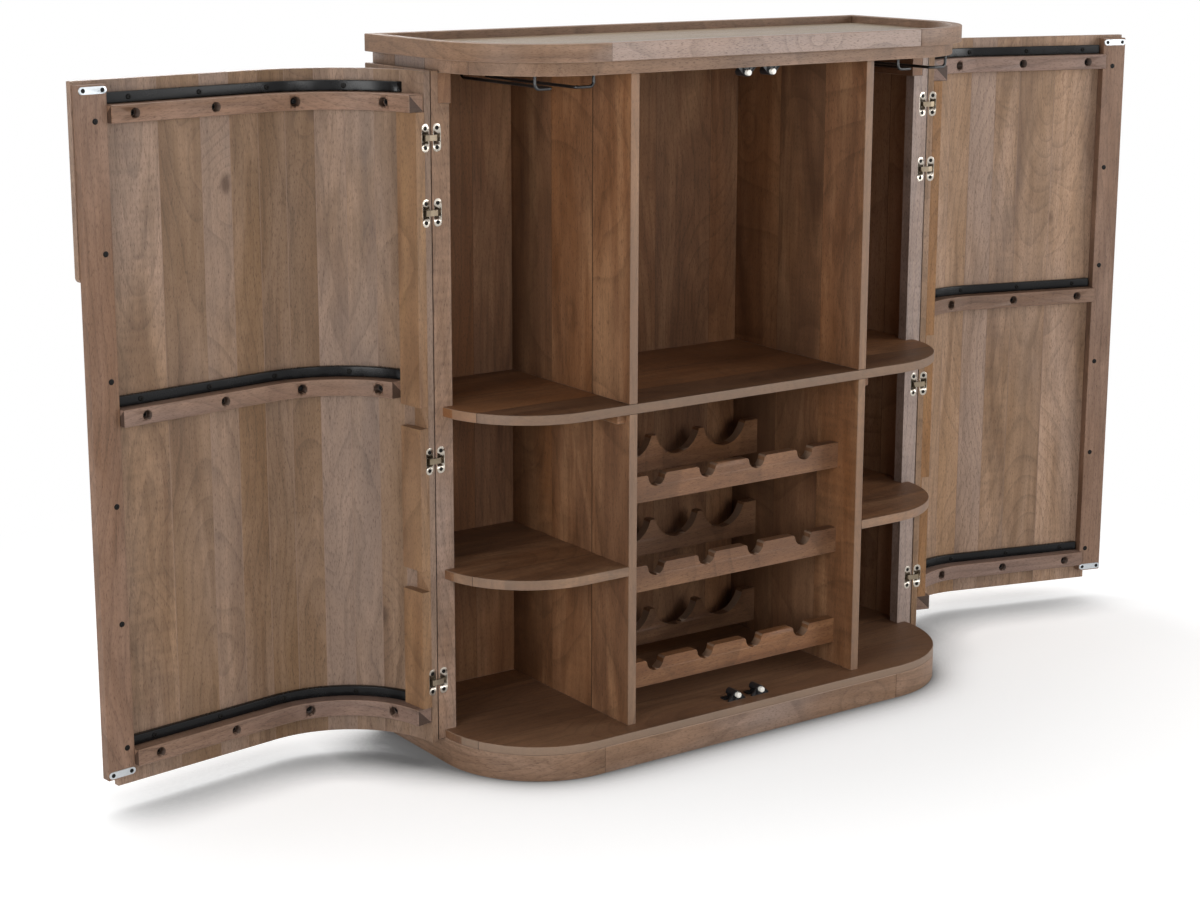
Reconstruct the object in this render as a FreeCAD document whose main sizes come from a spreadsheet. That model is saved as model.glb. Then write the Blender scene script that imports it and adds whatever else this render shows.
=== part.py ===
import FreeCAD, Part
import math
import os
import re
import Sketcher
from FreeCAD import Units, Vector

# Bar armoire: a plinth and deck carry two dividers, shelves and a bottle rack,
# a tray top closes it, and two coopered doors wrap round the front corners.
# Origin at the middle of the base underside, X to the right, Y to the back, Z up.

doc = FreeCAD.newDocument("BarArmoire")

# Driving sizes in millimetres and degrees
DRIVING = [
    ("overall_width", 1028, "outside of rim, side panels and doors"),
    ("overall_depth", 400, "front of rim to back edge"),
    ("overall_height", 1168, "floor to top of rim"),
    ("corner_radius", 190, "front corners, outside of rim and doors"),
    ("hinge_flat", 6, "straight run between the corner curve and the hinge line"),
    ("plinth_height", 44, "plinth frame"),
    ("deck_thick", 14, "deck board on the plinth"),
    ("base_inset", 12, "base set in from the outside, also the side panel thickness"),
    ("plinth_rail_thick", 22, "plinth rails and brace"),
    ("corner_tail", 10, "straight tail of each bent corner piece"),
    ("rim_height", 28, "tray rim"),
    ("rim_width", 18, "tray rim in plan"),
    ("tray_recess", 13, "tray panel below the rim"),
    ("sub_top_thick", 21, "board under the tray"),
    ("top_inset", 15, "board under the tray set in from the outside"),
    ("stile_width", 32, "hinge stile across the front"),
    ("stile_depth", 20, "hinge stile front to back"),
    ("stile_rise", 3, "outer strip of stile and panel above the sub top underside"),
    ("back_thick", 10, "back panel"),
    ("back_recess", 8, "back panel in from the back edge"),
    ("centre_bay_share", 0.4523, "clear width between the dividers over the overall width"),
    ("divider_thick", 16, "dividers"),
    ("shelf_thick", 16, "all shelves"),
    ("mid_shelf_share", 0.491, "underside of the long shelf over the clear height inside"),
    ("low_shelf_share", 0.4875, "underside of the lower side shelves over the lower clear height"),
    ("shelf_side_gap", 14, "shelf ends in from the outside"),
    ("shelf_radius", 167, "front corners of the shelves"),
    ("shelf_proud", 1, "long shelf in front of the dividers"),
    ("shelf_cleat_size", 16, "cleats under the long shelf"),
    ("shelf_cleat_setback", 11, "cleats behind the divider front"),
    ("shelf_cleat_length", 240, "cleats front to back"),
    ("top_cleat_width", 24, "cleats under the sub top"),
    ("top_cleat_drop", 48, "cleats under the sub top"),
    ("rack_rail_thick", 18, "bottle rails front to back"),
    ("rack_front_height", 44, "neck rails"),
    ("rack_rear_height", 62, "cradle rails"),
    ("rack_front_setback", 49, "neck rails behind the divider front"),
    ("rack_rear_inset", 52, "cradle rails in front of the back panel"),
    ("rack_low_share", 0.0768, "underside of the lowest neck rail over the lower clear height"),
    ("rack_mid_share", 0.3935, "underside of the middle neck rail, likewise"),
    ("rack_high_share", 0.6853, "underside of the highest neck rail, likewise"),
    ("bottle_pitch_share", 0.2258, "bottle spacing over the clear width between the dividers"),
    ("neck_radius", 17, "neck notches"),
    ("neck_depth", 20, "neck notches"),
    ("neck_round", 5, "shoulders of the neck notches"),
    ("bottle_radius", 48, "bottle cradles"),
    ("cradle_depth", 38, "bottle cradles"),
    ("wire_radius", 2.5, "stem holder wire"),
    ("wire_bend", 8, "bend radius of the wire"),
    ("stem_gap", 44, "wire spacing for glass stems"),
    ("stem_flare", 32, "front wire ends outwards"),
    ("stem_drop", 20, "wire below the sub top"),
    ("stem_front_setback", 38, "front wire ends behind the sub top edge"),
    ("stem_length", 260, "stem holder front to back"),
    ("latch_spacing", 50, "between two latches"),
    ("latch_axis", 10, "latch axis off the deck or sub top"),
    ("latch_radius", 6.5, "latch barrel"),
    ("latch_length", 24, "latch barrel"),
    ("latch_plate_width", 36, "latch foot"),
    ("latch_plate_depth", 13, "latch foot"),
    ("latch_plate_thick", 2.5, "latch foot"),
    ("latch_web", 8, "web between foot and barrel"),
    ("latch_tip_radius", 4, "push tip"),
    ("latch_tip_length", 17, "push tip"),
    ("latch_tip_reach", 6, "push tip in front of the barrel"),
    ("latch_tip_round", 1.5, "push tip front edge"),
    ("latch_stroke", 5, "travel of the push tip"),
    ("slide_clearance", 0.35, "moving pieces"),
    ("strike_length", 46, "strike plates"),
    ("strike_height", 11, "strike plates"),
    ("strike_thick", 1.5, "strike plates"),
    ("strike_clearance", 0.4, "strike plate to push tip"),
    ("door_clearance", 1, "door panel to deck edge"),
    ("door_gap", 3, "between the closed doors"),
    ("door_lap_low", 17, "door panel below the deck face"),
    ("door_lap_high", 3, "door panel above the sub top underside"),
    ("pull_share", 0.728, "finger pull over the door height"),
    ("pull_cut", 30, "finger pull edge from the middle"),
    ("stave_kerf", 0.3, "joint lines between staves"),
    ("stave_width", 52, "narrow staves"),
    ("stave_broad", 75, "broad stave"),
    ("stave_angle", 15, "staves round the corner"),
    ("meeting_stile_width", 47.5, "board inside the free edge"),
    ("meeting_stile_thick", 17, "board inside the free edge"),
    ("meeting_stile_inset", 3.5, "board edge from the middle"),
    ("inner_end_gap", 2, "inner door boards clear of deck and sub top"),
    ("batten_width", 48, "batten inside the hinge edge"),
    ("notch_low", 15, "batten notch below a shelf"),
    ("notch_high", 4, "batten notch above a shelf"),
    ("notch_web", 2, "wood left behind a batten notch"),
    ("door_rail_height", 27, "curved door rails"),
    ("door_rail_thick", 28, "curved door rails"),
    ("door_rail_end", 2, "curved rails short of the hinge edge"),
    ("rail_low_rise", 17, "bottom door rail above the deck"),
    ("rail_mid_rise", 14, "middle door rail above the long shelf"),
    ("rail_high_drop", 59, "underside of the top door rail below the sub top"),
    ("rail_clearance", 2, "door rails to the dividers"),
    ("bar_height", 16, "curved steel bars"),
    ("bar_thick", 9, "curved steel bars"),
    ("bar_lift", 1, "steel bars above the door rails"),
    ("bar_end", 4, "steel bars short of the meeting stile"),
    ("bore_radius", 8, "screw counterbores in the door rails"),
    ("bore_depth", 12, "screw counterbores in the door rails"),
    ("bore_first", 91, "first counterbore from the middle"),
    ("bore_pitch", 140, "counterbores along the rail"),
    ("bore_back", 18, "last counterbore of a middle rail, nearer to the others"),
    ("hinge_gap", 1, "between hinge stile and door edge"),
    ("axis_out", 1.2, "hinge axis outside the side panel"),
    ("hinge_low_rise", 85, "lowest hinge above the deck"),
    ("hinge_mid_drop", 69, "second hinge below the long shelf"),
    ("hinge_pair", 116, "between the two upper hinges"),
    ("hinge_top_drop", 99, "highest hinge below the sub top"),
    ("cup_centre", 9.7, "hinge cups in from the outside"),
    ("cup_width", 14, "hinge cups"),
    ("cup_height", 44, "hinge cups with their screw tabs"),
    ("cup_flange", 2, "screw tabs of the hinge cups"),
    ("cup_depth", 16, "hinge cups"),
    ("cup_well", 16, "height of the deep part of the cups"),
    ("cup_wall", 1, "hinge cups"),
    ("cup_end", 2, "upper and lower walls of the deep part"),
    ("pin_radius", 1.2, "pins of the hinge links"),
    ("pin_across", 2.7, "pin from the outer wall of the cup hollow"),
    ("pin_in", 5.5, "pin behind the stile face"),
    ("link_clearance", 0.3, "hinge link to pin and cup wall"),
    ("link_height", 9, "hinge links"),
    ("link_web", 3.25, "back of the hinge links"),
    ("link_gap", 0.4, "back of the links to the cup wall"),
    ("link_shoulder", 2, "cut corner of the links"),
    ("link_drop", 6.4, "straight inside edge below the hinge line"),
    ("knee_across", 2.05, "slanted inside edge of the links"),
    ("knee_down", 2.6, "slanted inside edge of the links"),
    ("toe_gap", 0.5, "link toe to the cup hollow"),
    ("toe_thick", 1.6, "link toe at its tip"),
    ("heel_in", 1.5, "slanted outside edge of the links"),
    ("heel_rise", 7.5, "slanted outside edge of the links"),
    ("link_turn_share", 0.48, "turn of the links over the turn of the door"),
    ("open_angle_left", 172, "left door as shown"),
    ("open_angle_right", 165, "right door as shown"),
    ("edge_ease", 1, "eased board edges"),
    ("over_cut", 2, "cutters past the surface"),
]

# Sizes that follow from the driving ones
DERIVED = [
    ("half_width", "overall_width / 2"),
    ("half_depth", "overall_depth / 2"),
    ("arc_x", "half_width - corner_radius"),
    ("arc_y", "corner_radius - half_depth"),
    ("hinge_line", "arc_y + hinge_flat"),
    ("hinge_x", "half_width + axis_out"),
    ("stile_face", "hinge_line + hinge_gap / 2"),
    ("door_edge", "hinge_line - hinge_gap / 2"),
    ("deck_top", "plinth_height + deck_thick"),
    ("rim_low", "overall_height - rim_height"),
    ("sub_top_low", "rim_low - sub_top_thick"),
    ("base_half", "half_width - base_inset"),
    ("base_front", "base_inset - half_depth"),
    ("top_half", "half_width - top_inset"),
    ("top_front", "top_inset - half_depth"),
    ("stile_inner", "half_width - stile_width"),
    ("stile_back", "stile_face + stile_depth"),
    ("back_face", "half_depth - back_recess - back_thick"),
    ("panel_thick", "base_inset - door_clearance"),
    ("panel_radius", "corner_radius - panel_thick"),
    ("stile_plane", "panel_thick + meeting_stile_thick"),
    ("rail_plane", "panel_thick + door_rail_thick"),
    ("divider_front", "rail_plane + rail_clearance - half_depth"),
    ("shelf_front", "divider_front - shelf_proud"),
    ("shelf_half", "half_width - shelf_side_gap"),
    ("centre_bay_width", "overall_width * centre_bay_share"),
    ("bottle_pitch", "centre_bay_width * bottle_pitch_share"),
    ("bay_half", "centre_bay_width / 2"),
    ("bay_outer", "bay_half + divider_thick"),
    ("mid_shelf_height", "deck_top + (sub_top_low - deck_top) * mid_shelf_share"),
    ("lower_clear", "mid_shelf_height - deck_top"),
    ("low_shelf_height", "deck_top + lower_clear * low_shelf_share"),
    ("rack_low", "deck_top + lower_clear * rack_low_share"),
    ("rack_mid", "deck_top + lower_clear * rack_mid_share"),
    ("rack_high", "deck_top + lower_clear * rack_high_share"),
    ("mid_shelf_top", "mid_shelf_height + shelf_thick"),
    ("low_shelf_top", "low_shelf_height + shelf_thick"),
    ("door_low", "deck_top - door_lap_low"),
    ("door_high", "sub_top_low + door_lap_high"),
    ("pull_top", "door_low + (door_high - door_low) * pull_share"),
    ("rail_low", "deck_top + rail_low_rise"),
    ("rail_mid", "mid_shelf_top + rail_mid_rise"),
    ("rail_high", "sub_top_low - rail_high_drop"),
    ("hinge_low", "deck_top + hinge_low_rise"),
    ("hinge_mid", "mid_shelf_height - hinge_mid_drop"),
    ("hinge_top", "sub_top_low - hinge_top_drop"),
    ("hinge_high", "hinge_top - hinge_pair"),
    ("hollow_near", "axis_out + cup_centre - cup_width / 2 + cup_wall"),
    ("hollow_far", "axis_out + cup_centre + cup_width / 2 - cup_wall"),
    ("pin_x", "hinge_x - hollow_near - pin_across"),
    ("pin_y", "stile_face + pin_in"),
    ("batten_front", "door_edge - batten_width"),
    ("strike_face", "stile_plane + strike_thick - half_depth"),
    ("tip_front", "strike_face + strike_clearance"),
    ("latch_front", "tip_front + latch_tip_reach"),
    ("bay_middle", "(bay_outer + stile_inner) / 2"),
]

sheet = doc.addObject("Spreadsheet::Sheet", "Dims")
row = 0
for alias, number, note in DRIVING:
    row += 1
    sheet.set("A%d" % row, note)
    sheet.set("B%d" % row, str(number))
    sheet.setAlias("B%d" % row, alias)
for alias, formula in DERIVED:
    row += 1
    sheet.set("A%d" % row, "follows from the sizes above")
    sheet.set("B%d" % row, "=" + formula)
    sheet.setAlias("B%d" % row, alias)
doc.recompute()

WORD = re.compile(r"[a-z][a-z_]*")
PIECES = []
LEFT, RIGHT = -1, 1
SIDES = ((LEFT, "left"), (RIGHT, "right"))
UPRIGHT = "vector(0; 0; 1)"


def ref(text):
    """Point every size name of an expression at the sheet."""
    return WORD.sub(lambda word: "Dims." + word.group(0), text)


def size(text):
    """Present value of an expression."""
    filled = WORD.sub(lambda word: "(%.6f)" % float(sheet.get(word.group(0))), text)
    return Units.Quantity(filled).Value


def bind(item, **settings):
    for name, text in settings.items():
        item.setExpression(name, ref(text))


def spot(x, y, z, turn="0", axis=UPRIGHT):
    return "placement(vector(%s; %s; %s); rotation(%s; %s))" % (ref(x), ref(y), ref(z), axis, ref(turn))


def flip(side, text):
    return text if side == RIGHT else "-(%s)" % text


def swing(side, pivot_x="hinge_x", pivot_y="hinge_line", share="1"):
    """Closed to shown position, turned about an upright axis by a share of the door angle."""
    angle = "open_angle_right" if side == RIGHT else "open_angle_left"
    turned = spot(flip(side, pivot_x), pivot_y, "0", flip(side, "%s * %s" % (share, angle)))
    return turned + " * " + spot("-(%s)" % flip(side, pivot_x), "-(%s)" % pivot_y, "0")


def place(item, x="0", y="0", z="0", door=None, turn="0", axis=UPRIGHT, lead=None):
    whole = spot(x, y, z, turn, axis)
    if door is not None:
        lead = swing(door)
    if lead is not None:
        whole = lead + " * " + whole
    item.setExpression("Placement", whole)
    return item


def keep(item, label):
    """Mark a finished object as one named piece."""
    item.Label = label
    PIECES.append(item)
    return item


def from_middle(side, near, long_x):
    """X of the lower corner of something that starts at near from the middle."""
    return near if side == RIGHT else "-(%s) - (%s)" % (near, long_x)


def named_edges(feature, test):
    return ["Edge%d" % (n + 1) for n, edge in enumerate(feature.Shape.Edges) if test(edge)]


def is_upright(edge):
    start, end = edge.Vertexes[0].Point, edge.Vertexes[-1].Point
    return abs(start.z - end.z) > size("over_cut")


def new_body(name):
    body = doc.addObject("PartDesign::Body", name)
    sketch = body.newObject("Sketcher::SketchObject", name + "_outline")
    plane = [item for item in body.Origin.OriginFeatures if item.Role == "XY_Plane"][0]
    sketch.AttachmentSupport = (plane, [""])
    sketch.MapMode = "FlatFace"
    return body, sketch


def rule(sketch, kind, *parts, **named):
    """Add one sketch constraint, tied to the sheet when an expression is given."""
    if "text" in named:
        index = sketch.addConstraint(Sketcher.Constraint(kind, *parts, size(named["text"])))
        sketch.renameConstraint(index, named["name"])
        sketch.setExpression("Constraints." + named["name"], ref(named["text"]))
    else:
        sketch.addConstraint(Sketcher.Constraint(kind, *parts))


def pad(body, sketch, tall):
    feature = body.newObject("PartDesign::Pad", body.Name + "_pad")
    feature.Profile = sketch
    bind(feature, Length=tall)
    sketch.Visibility = False
    doc.recompute()
    return feature


def ease(body, feature, edges, amount="edge_ease"):
    chamfer = body.newObject("PartDesign::Chamfer", body.Name + "_ease")
    chamfer.Base = (feature, edges)
    bind(chamfer, Size=amount)
    body.Tip = chamfer
    doc.recompute()
    return chamfer


def slab(name, long_x, deep_y, tall_z):
    """Rectangle padded upwards, one corner on the body origin."""
    body, sketch = new_body(name)
    far_x, far_y = size(long_x), size(deep_y)
    corners = [Vector(0, 0, 0), Vector(far_x, 0, 0), Vector(far_x, far_y, 0), Vector(0, far_y, 0)]
    for n in range(4):
        sketch.addGeometry(Part.LineSegment(corners[n], corners[(n + 1) % 4]), False)
    for n in range(4):
        rule(sketch, "Coincident", n, 2, (n + 1) % 4, 1)
    for n in (0, 2):
        rule(sketch, "Horizontal", n)
        rule(sketch, "Vertical", n + 1)
    rule(sketch, "Coincident", 0, 1, -1, 1)
    rule(sketch, "Distance", 0, name="long_x", text=long_x)
    rule(sketch, "Distance", 1, name="deep_y", text=deep_y)
    return body, pad(body, sketch, tall_z)


def board(label, long_x, deep_y, tall_z, x, y, z, door=None, kept=True):
    """Plain board with eased edges."""
    body, feature = slab(label, long_x, deep_y, tall_z)
    ease(body, feature, named_edges(feature, lambda edge: True))
    place(body, x, y, z, door)
    return keep(body, label) if kept else body


def rounded_board(name, long_x, deep_y, tall_z, radius, corners, x, y, z):
    """Board with rounded front corners, corners lists the share of its length."""
    body, feature = slab(name, long_x, deep_y, tall_z)
    spots = [size(long_x) * share for share in corners]

    def at_corner(edge):
        point = edge.CenterOfMass
        near = min(abs(point.x - spot_x) for spot_x in spots)
        return is_upright(edge) and abs(point.y) < size("edge_ease") and near < size("edge_ease")

    rounding = body.newObject("PartDesign::Fillet", name + "_corner")
    rounding.Base = (feature, named_edges(feature, at_corner))
    bind(rounding, Radius=radius)
    body.Tip = rounding
    doc.recompute()
    ease(body, rounding, named_edges(rounding, lambda edge: not is_upright(edge)))
    return place(body, x, y, z)


def bend(name, side, outer, inner, front_run, side_run, tall, z, door=None, eased=True):
    """Strip bent round a front corner: straight front run, quarter arc, straight side run."""
    body, sketch = new_body(name)
    far, near = size(outer), size(inner)
    run, back = size(front_run), size(side_run)

    def point(x, y):
        return Vector(side * x, y, 0)

    def arc(radius):
        start, end = (-math.pi / 2, 0) if side == RIGHT else (math.pi, 3 * math.pi / 2)
        return Part.ArcOfCircle(Part.Circle(Vector(0, 0, 0), Vector(0, 0, 1), radius), start, end)

    shapes = [
        Part.LineSegment(point(-run, -far), point(0, -far)),
        arc(far),
        Part.LineSegment(point(far, 0), point(far, back)),
        Part.LineSegment(point(far, back), point(near, back)),
        Part.LineSegment(point(near, back), point(near, 0)),
        arc(near),
        Part.LineSegment(point(0, -near), point(-run, -near)),
        Part.LineSegment(point(-run, -near), point(-run, -far)),
    ]
    for shape in shapes:
        sketch.addGeometry(shape, False)
    low, high = (1, 2) if side == RIGHT else (2, 1)
    joins = [(0, 2, 1, low), (1, high, 2, 1), (2, 2, 3, 1), (3, 2, 4, 1),
             (4, 2, 5, high), (5, low, 6, 1), (6, 2, 7, 1), (7, 2, 0, 1)]
    for join in joins:
        rule(sketch, "Coincident", *join)
    for curve in (1, 5):
        rule(sketch, "Coincident", curve, 3, -1, 1)
        rule(sketch, "PointOnObject", curve, low, -2)
        rule(sketch, "PointOnObject", curve, high, -1)
    for level in (0, 3, 6):
        rule(sketch, "Horizontal", level)
    for upright in (2, 4, 7):
        rule(sketch, "Vertical", upright)
    rule(sketch, "Radius", 1, name="outer", text=outer)
    rule(sketch, "Radius", 5, name="inner", text=inner)
    rule(sketch, "Distance", 0, name="front_run", text=front_run)
    rule(sketch, "Distance", 2, name="side_run", text=side_run)
    feature = pad(body, sketch, tall)
    if eased:
        ease(body, feature, named_edges(feature, lambda edge: True))
    return place(body, flip(side, "arc_x"), "arc_y", z, door)


def block(long_x, deep_y, tall_z, x, y, z):
    """Plain cutter or filler."""
    box = doc.addObject("Part::Box", "Block")
    bind(box, Length=long_x, Width=deep_y, Height=tall_z)
    return place(box, x, y, z)


def round_bar(radius, length, x, y, z, turn="0", axis=UPRIGHT):
    bar = doc.addObject("Part::Cylinder", "Round")
    bind(bar, Radius=radius, Height=length)
    return place(bar, x, y, z, turn=turn, axis=axis)


def fuse(items):
    if len(items) == 1:
        return items[0]
    whole = doc.addObject("Part::MultiFuse", "Joined")
    whole.Shapes = items
    return whole


def cut(base, tools, name="Shaped"):
    result = doc.addObject("Part::Cut", name)
    result.Base = base
    result.Tool = fuse(tools)
    return result


def group(items, name):
    """Separate solids kept together under one name."""
    whole = doc.addObject("Part::Compound", name)
    whole.Links = items
    return whole


ACROSS = "vector(1; 0; 0)"
HINGE_HEIGHTS = ("hinge_low", "hinge_mid", "hinge_high", "hinge_top")


# Base: plinth frame and deck
def build_base():
    straight = "2 * (arc_x - corner_tail)"
    board("plinth_front_rail", straight, "plinth_rail_thick", "plinth_height",
          "corner_tail - arc_x", "base_front", "0")
    for side, word in SIDES:
        corner = bend("plinth_corner_" + word, side, "corner_radius - base_inset",
                      "corner_radius - base_inset - plinth_rail_thick", "corner_tail",
                      "half_depth - arc_y", "plinth_height", "0")
        keep(corner, "plinth_corner_" + word)
    inside = "base_half - plinth_rail_thick"
    board("plinth_back_rail", "2 * (%s)" % inside, "plinth_rail_thick", "plinth_height",
          "-(%s)" % inside, "half_depth - plinth_rail_thick", "0")
    board("plinth_centre_brace", "plinth_rail_thick", "overall_depth - base_inset - 2 * plinth_rail_thick",
          "plinth_height", "-plinth_rail_thick / 2", "base_front + plinth_rail_thick", "0")
    deck = rounded_board("deck_board", "2 * base_half", "half_depth - base_front", "deck_thick",
                         "corner_radius - base_inset", (0, 1), "-base_half", "base_front", "plinth_height")
    keep(deck, "deck_board")


# Top: sub top, rim round a recessed tray panel
def build_top():
    under = rounded_board("sub_top_board", "2 * top_half", "half_depth - top_front", "sub_top_thick",
                          "corner_radius - top_inset", (0, 1), "-top_half", "top_front", "sub_top_low")
    keep(under, "sub_top_board")
    straight = "2 * (arc_x - corner_tail)"
    board("rim_front_rail", straight, "rim_width", "rim_height", "corner_tail - arc_x", "-half_depth", "rim_low")
    for side, word in SIDES:
        corner = bend("rim_corner_" + word, side, "corner_radius", "corner_radius - rim_width",
                      "corner_tail", "half_depth - arc_y", "rim_height", "rim_low")
        keep(corner, "rim_corner_" + word)
    inside = "half_width - rim_width"
    board("rim_back_rail", "2 * (%s)" % inside, "rim_width", "rim_height",
          "-(%s)" % inside, "half_depth - rim_width", "rim_low")
    tray = rounded_board("tray_panel", "2 * (%s)" % inside, "overall_depth - 2 * rim_width",
                         "rim_height - tray_recess", "corner_radius - rim_width", (0, 1),
                         "-(%s)" % inside, "rim_width - half_depth", "rim_low")
    keep(tray, "tray_panel")


def cup_bodies(side, edge, inward):
    """Outer form of the four hinge cups of one edge, let into it along inward."""
    near = "half_width - cup_centre - cup_width / 2"
    middle = flip(side, "half_width - cup_centre")
    tab = "cup_height - cup_width"
    solids = []
    for height in HINGE_HEIGHTS:
        for deep, tall in (("cup_flange", tab), ("cup_depth", "cup_well")):
            start = edge if inward > 0 else "%s - %s" % (edge, deep)
            solids.append(block("cup_width", deep, tall, from_middle(side, near, "cup_width"), start,
                                "%s - (%s) / 2" % (height, tall)))
        start = "%s + cup_flange" % edge if inward > 0 else edge
        for end in ("+", "-"):
            solids.append(round_bar("cup_width / 2", "cup_flange", middle, start,
                                    "%s %s (%s) / 2" % (height, end, tab), "90", ACROSS))
    return fuse(solids)


def cup_hollows(side, edge, inward):
    long_x = "cup_width - 2 * cup_wall"
    near = "half_width - cup_centre - cup_width / 2 + cup_wall"
    tall = "cup_well - 2 * cup_end"
    deep = "cup_depth - cup_wall + over_cut"
    start = "%s - over_cut" % edge if inward > 0 else "%s + over_cut - (%s)" % (edge, deep)
    return [block(long_x, deep, tall, from_middle(side, near, long_x), start, "%s - (%s) / 2" % (height, tall))
            for height in HINGE_HEIGHTS]


# Carcass: stiles, side panels, back, dividers, shelves
def build_carcass():
    strip_tall = "sub_top_low + stile_rise - plinth_height"
    cleats, top_cleats, all_cups, pins = [], [], [], []
    for side, word in SIDES:
        post_wide = "stile_width - base_inset"
        cleat_near = "base_half - top_cleat_width"
        post = block(post_wide, "stile_depth", "sub_top_low - deck_top",
                     from_middle(side, "stile_inner", post_wide), "stile_face", "deck_top")
        strip = block("base_inset", "stile_depth", strip_tall,
                      from_middle(side, "base_half", "base_inset"), "stile_face", "plinth_height")
        cups = cup_bodies(side, "stile_face", 1)
        let_in = block("top_cleat_width", "stile_depth + 2 * over_cut", "top_cleat_drop + over_cut",
                       from_middle(side, cleat_near, "top_cleat_width"), "stile_face - over_cut",
                       "sub_top_low - top_cleat_drop")
        keep(place(cut(fuse([post, strip]), [cups, let_in], "side_stile_" + word)), "side_stile_" + word)
        all_cups.append(cut(cups, cup_hollows(side, "stile_face", 1), "stile_cups_" + word))
        pins += [round_bar("pin_radius", "cup_well - 2 * cup_end", flip(side, "pin_x"), "pin_y",
                           "%s - cup_well / 2 + cup_end" % height) for height in HINGE_HEIGHTS]
        board("side_panel_" + word, "base_inset", "half_depth - stile_back", strip_tall,
              from_middle(side, "base_half", "base_inset"), "stile_back", "plinth_height")
        top_cleats.append(board("top_cleat_" + word, "top_cleat_width", "back_face - stile_face", "top_cleat_drop",
                                from_middle(side, cleat_near, "top_cleat_width"), "stile_face",
                                "sub_top_low - top_cleat_drop", kept=False))
        for level, low, high in (("lower", "deck_top", "mid_shelf_height"),
                                 ("upper", "mid_shelf_top", "sub_top_low")):
            board("divider_%s_%s" % (level, word), "divider_thick", "back_face - divider_front",
                  "%s - %s" % (high, low), from_middle(side, "bay_half", "divider_thick"), "divider_front", low)
        cleats.append(board("shelf_cleat_" + word, "shelf_cleat_size", "shelf_cleat_length", "shelf_cleat_size",
                            from_middle(side, "bay_outer", "shelf_cleat_size"),
                            "divider_front + shelf_cleat_setback", "mid_shelf_height - shelf_cleat_size",
                            kept=False))
    for items, label in ((cleats, "shelf_cleats"), (top_cleats, "top_cleats"),
                         (all_cups, "hinge_cups_stile"), (pins, "hinge_pins")):
        keep(place(group(items, label)), label)
    board("back_panel", "2 * base_half", "back_thick", "sub_top_low - deck_top",
          "-base_half", "back_face", "deck_top")


def stile_clearances(z, sides):
    """Cutters that let a shelf pass round the hinge stiles."""
    long_x = "stile_width"
    return [block(long_x, "stile_depth", "shelf_thick + 2 * over_cut",
                  from_middle(side, "stile_inner", long_x), "stile_face", "%s - over_cut" % z) for side in sides]


def build_shelves():
    middle = rounded_board("mid_shelf_blank", "2 * shelf_half", "back_face - shelf_front", "shelf_thick",
                           "shelf_radius", (0, 1), "-shelf_half", "shelf_front", "mid_shelf_height")
    keep(place(cut(middle, stile_clearances("mid_shelf_height", (LEFT, RIGHT)), "mid_shelf")), "mid_shelf")
    long_x = "shelf_half - bay_outer"
    for side, word in SIDES:
        outer_end = 1 if side == RIGHT else 0
        low = rounded_board("low_shelf_blank_" + word, long_x, "back_face - divider_front", "shelf_thick",
                            "shelf_radius", (outer_end,), from_middle(side, "bay_outer", long_x),
                            "divider_front", "low_shelf_height")
        shaped = cut(low, stile_clearances("low_shelf_height", (side,)), "lower_shelf_" + word)
        keep(place(shaped), "lower_shelf_" + word)


def rack_rail(label, tall, radius, depth, y, z, rounded):
    """Rail across the centre bay with a row of four round notches in its upper edge."""
    body, feature = slab(label, "centre_bay_width", "rack_rail_thick", tall)
    sketch = body.newObject("Sketcher::SketchObject", label + "_notch")
    plane = [item for item in body.Origin.OriginFeatures if item.Role == "XZ_Plane"][0]
    sketch.AttachmentSupport = (plane, [""])
    sketch.MapMode = "FlatFace"
    first = "centre_bay_width / 2 - 1.5 * bottle_pitch"
    height = "%s - %s + %s" % (tall, depth, radius)
    circle = Part.Circle(Vector(size(first), size(height), 0), Vector(0, 0, 1), size(radius))
    sketch.addGeometry(circle, False)
    rule(sketch, "Radius", 0, name="radius", text=radius)
    rule(sketch, "DistanceX", -1, 1, 0, 3, name="across", text=first)
    rule(sketch, "DistanceY", -1, 1, 0, 3, name="above", text=height)
    notch = body.newObject("PartDesign::Pocket", label + "_pocket")
    notch.Profile = sketch
    notch.Type = "ThroughAll"
    notch.Midplane = True
    row_of = body.newObject("PartDesign::LinearPattern", label + "_row")
    row_of.Originals = [notch]
    row_of.Direction = (sketch, ["H_Axis"])
    row_of.Occurrences = 4
    bind(row_of, Length="3 * bottle_pitch")
    body.Tip = row_of
    doc.recompute()
    if row_of.Shape.Volume > feature.Shape.Volume - size("rack_rail_thick * bottle_pitch"):
        raise RuntimeError("notches missing in " + label)
    if rounded:
        top = size(tall)

        def at_shoulder(edge):
            point = edge.CenterOfMass
            inside = size("edge_ease") < point.x < size("centre_bay_width - edge_ease")
            level = abs(point.z - top) < size("edge_ease")
            return inside and level and abs(edge.Length - size("rack_rail_thick")) < size("edge_ease")

        shoulder = body.newObject("PartDesign::Fillet", label + "_shoulder")
        shoulder.Base = (row_of, named_edges(row_of, at_shoulder))
        bind(shoulder, Radius="neck_round")
        body.Tip = shoulder
        doc.recompute()
    keep(place(body, "-bay_half", y, z), label)


def build_rack():
    for level in ("low", "mid", "high"):
        rack_rail("neck_rail_" + level, "rack_front_height", "neck_radius", "neck_depth",
                  "divider_front + rack_front_setback", "rack_" + level, True)
        rack_rail("cradle_rail_" + level, "rack_rear_height", "bottle_radius", "cradle_depth",
                  "back_face - rack_rear_inset - rack_rail_thick",
                  "rack_%s + rack_front_height - rack_rear_height" % level, False)


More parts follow.
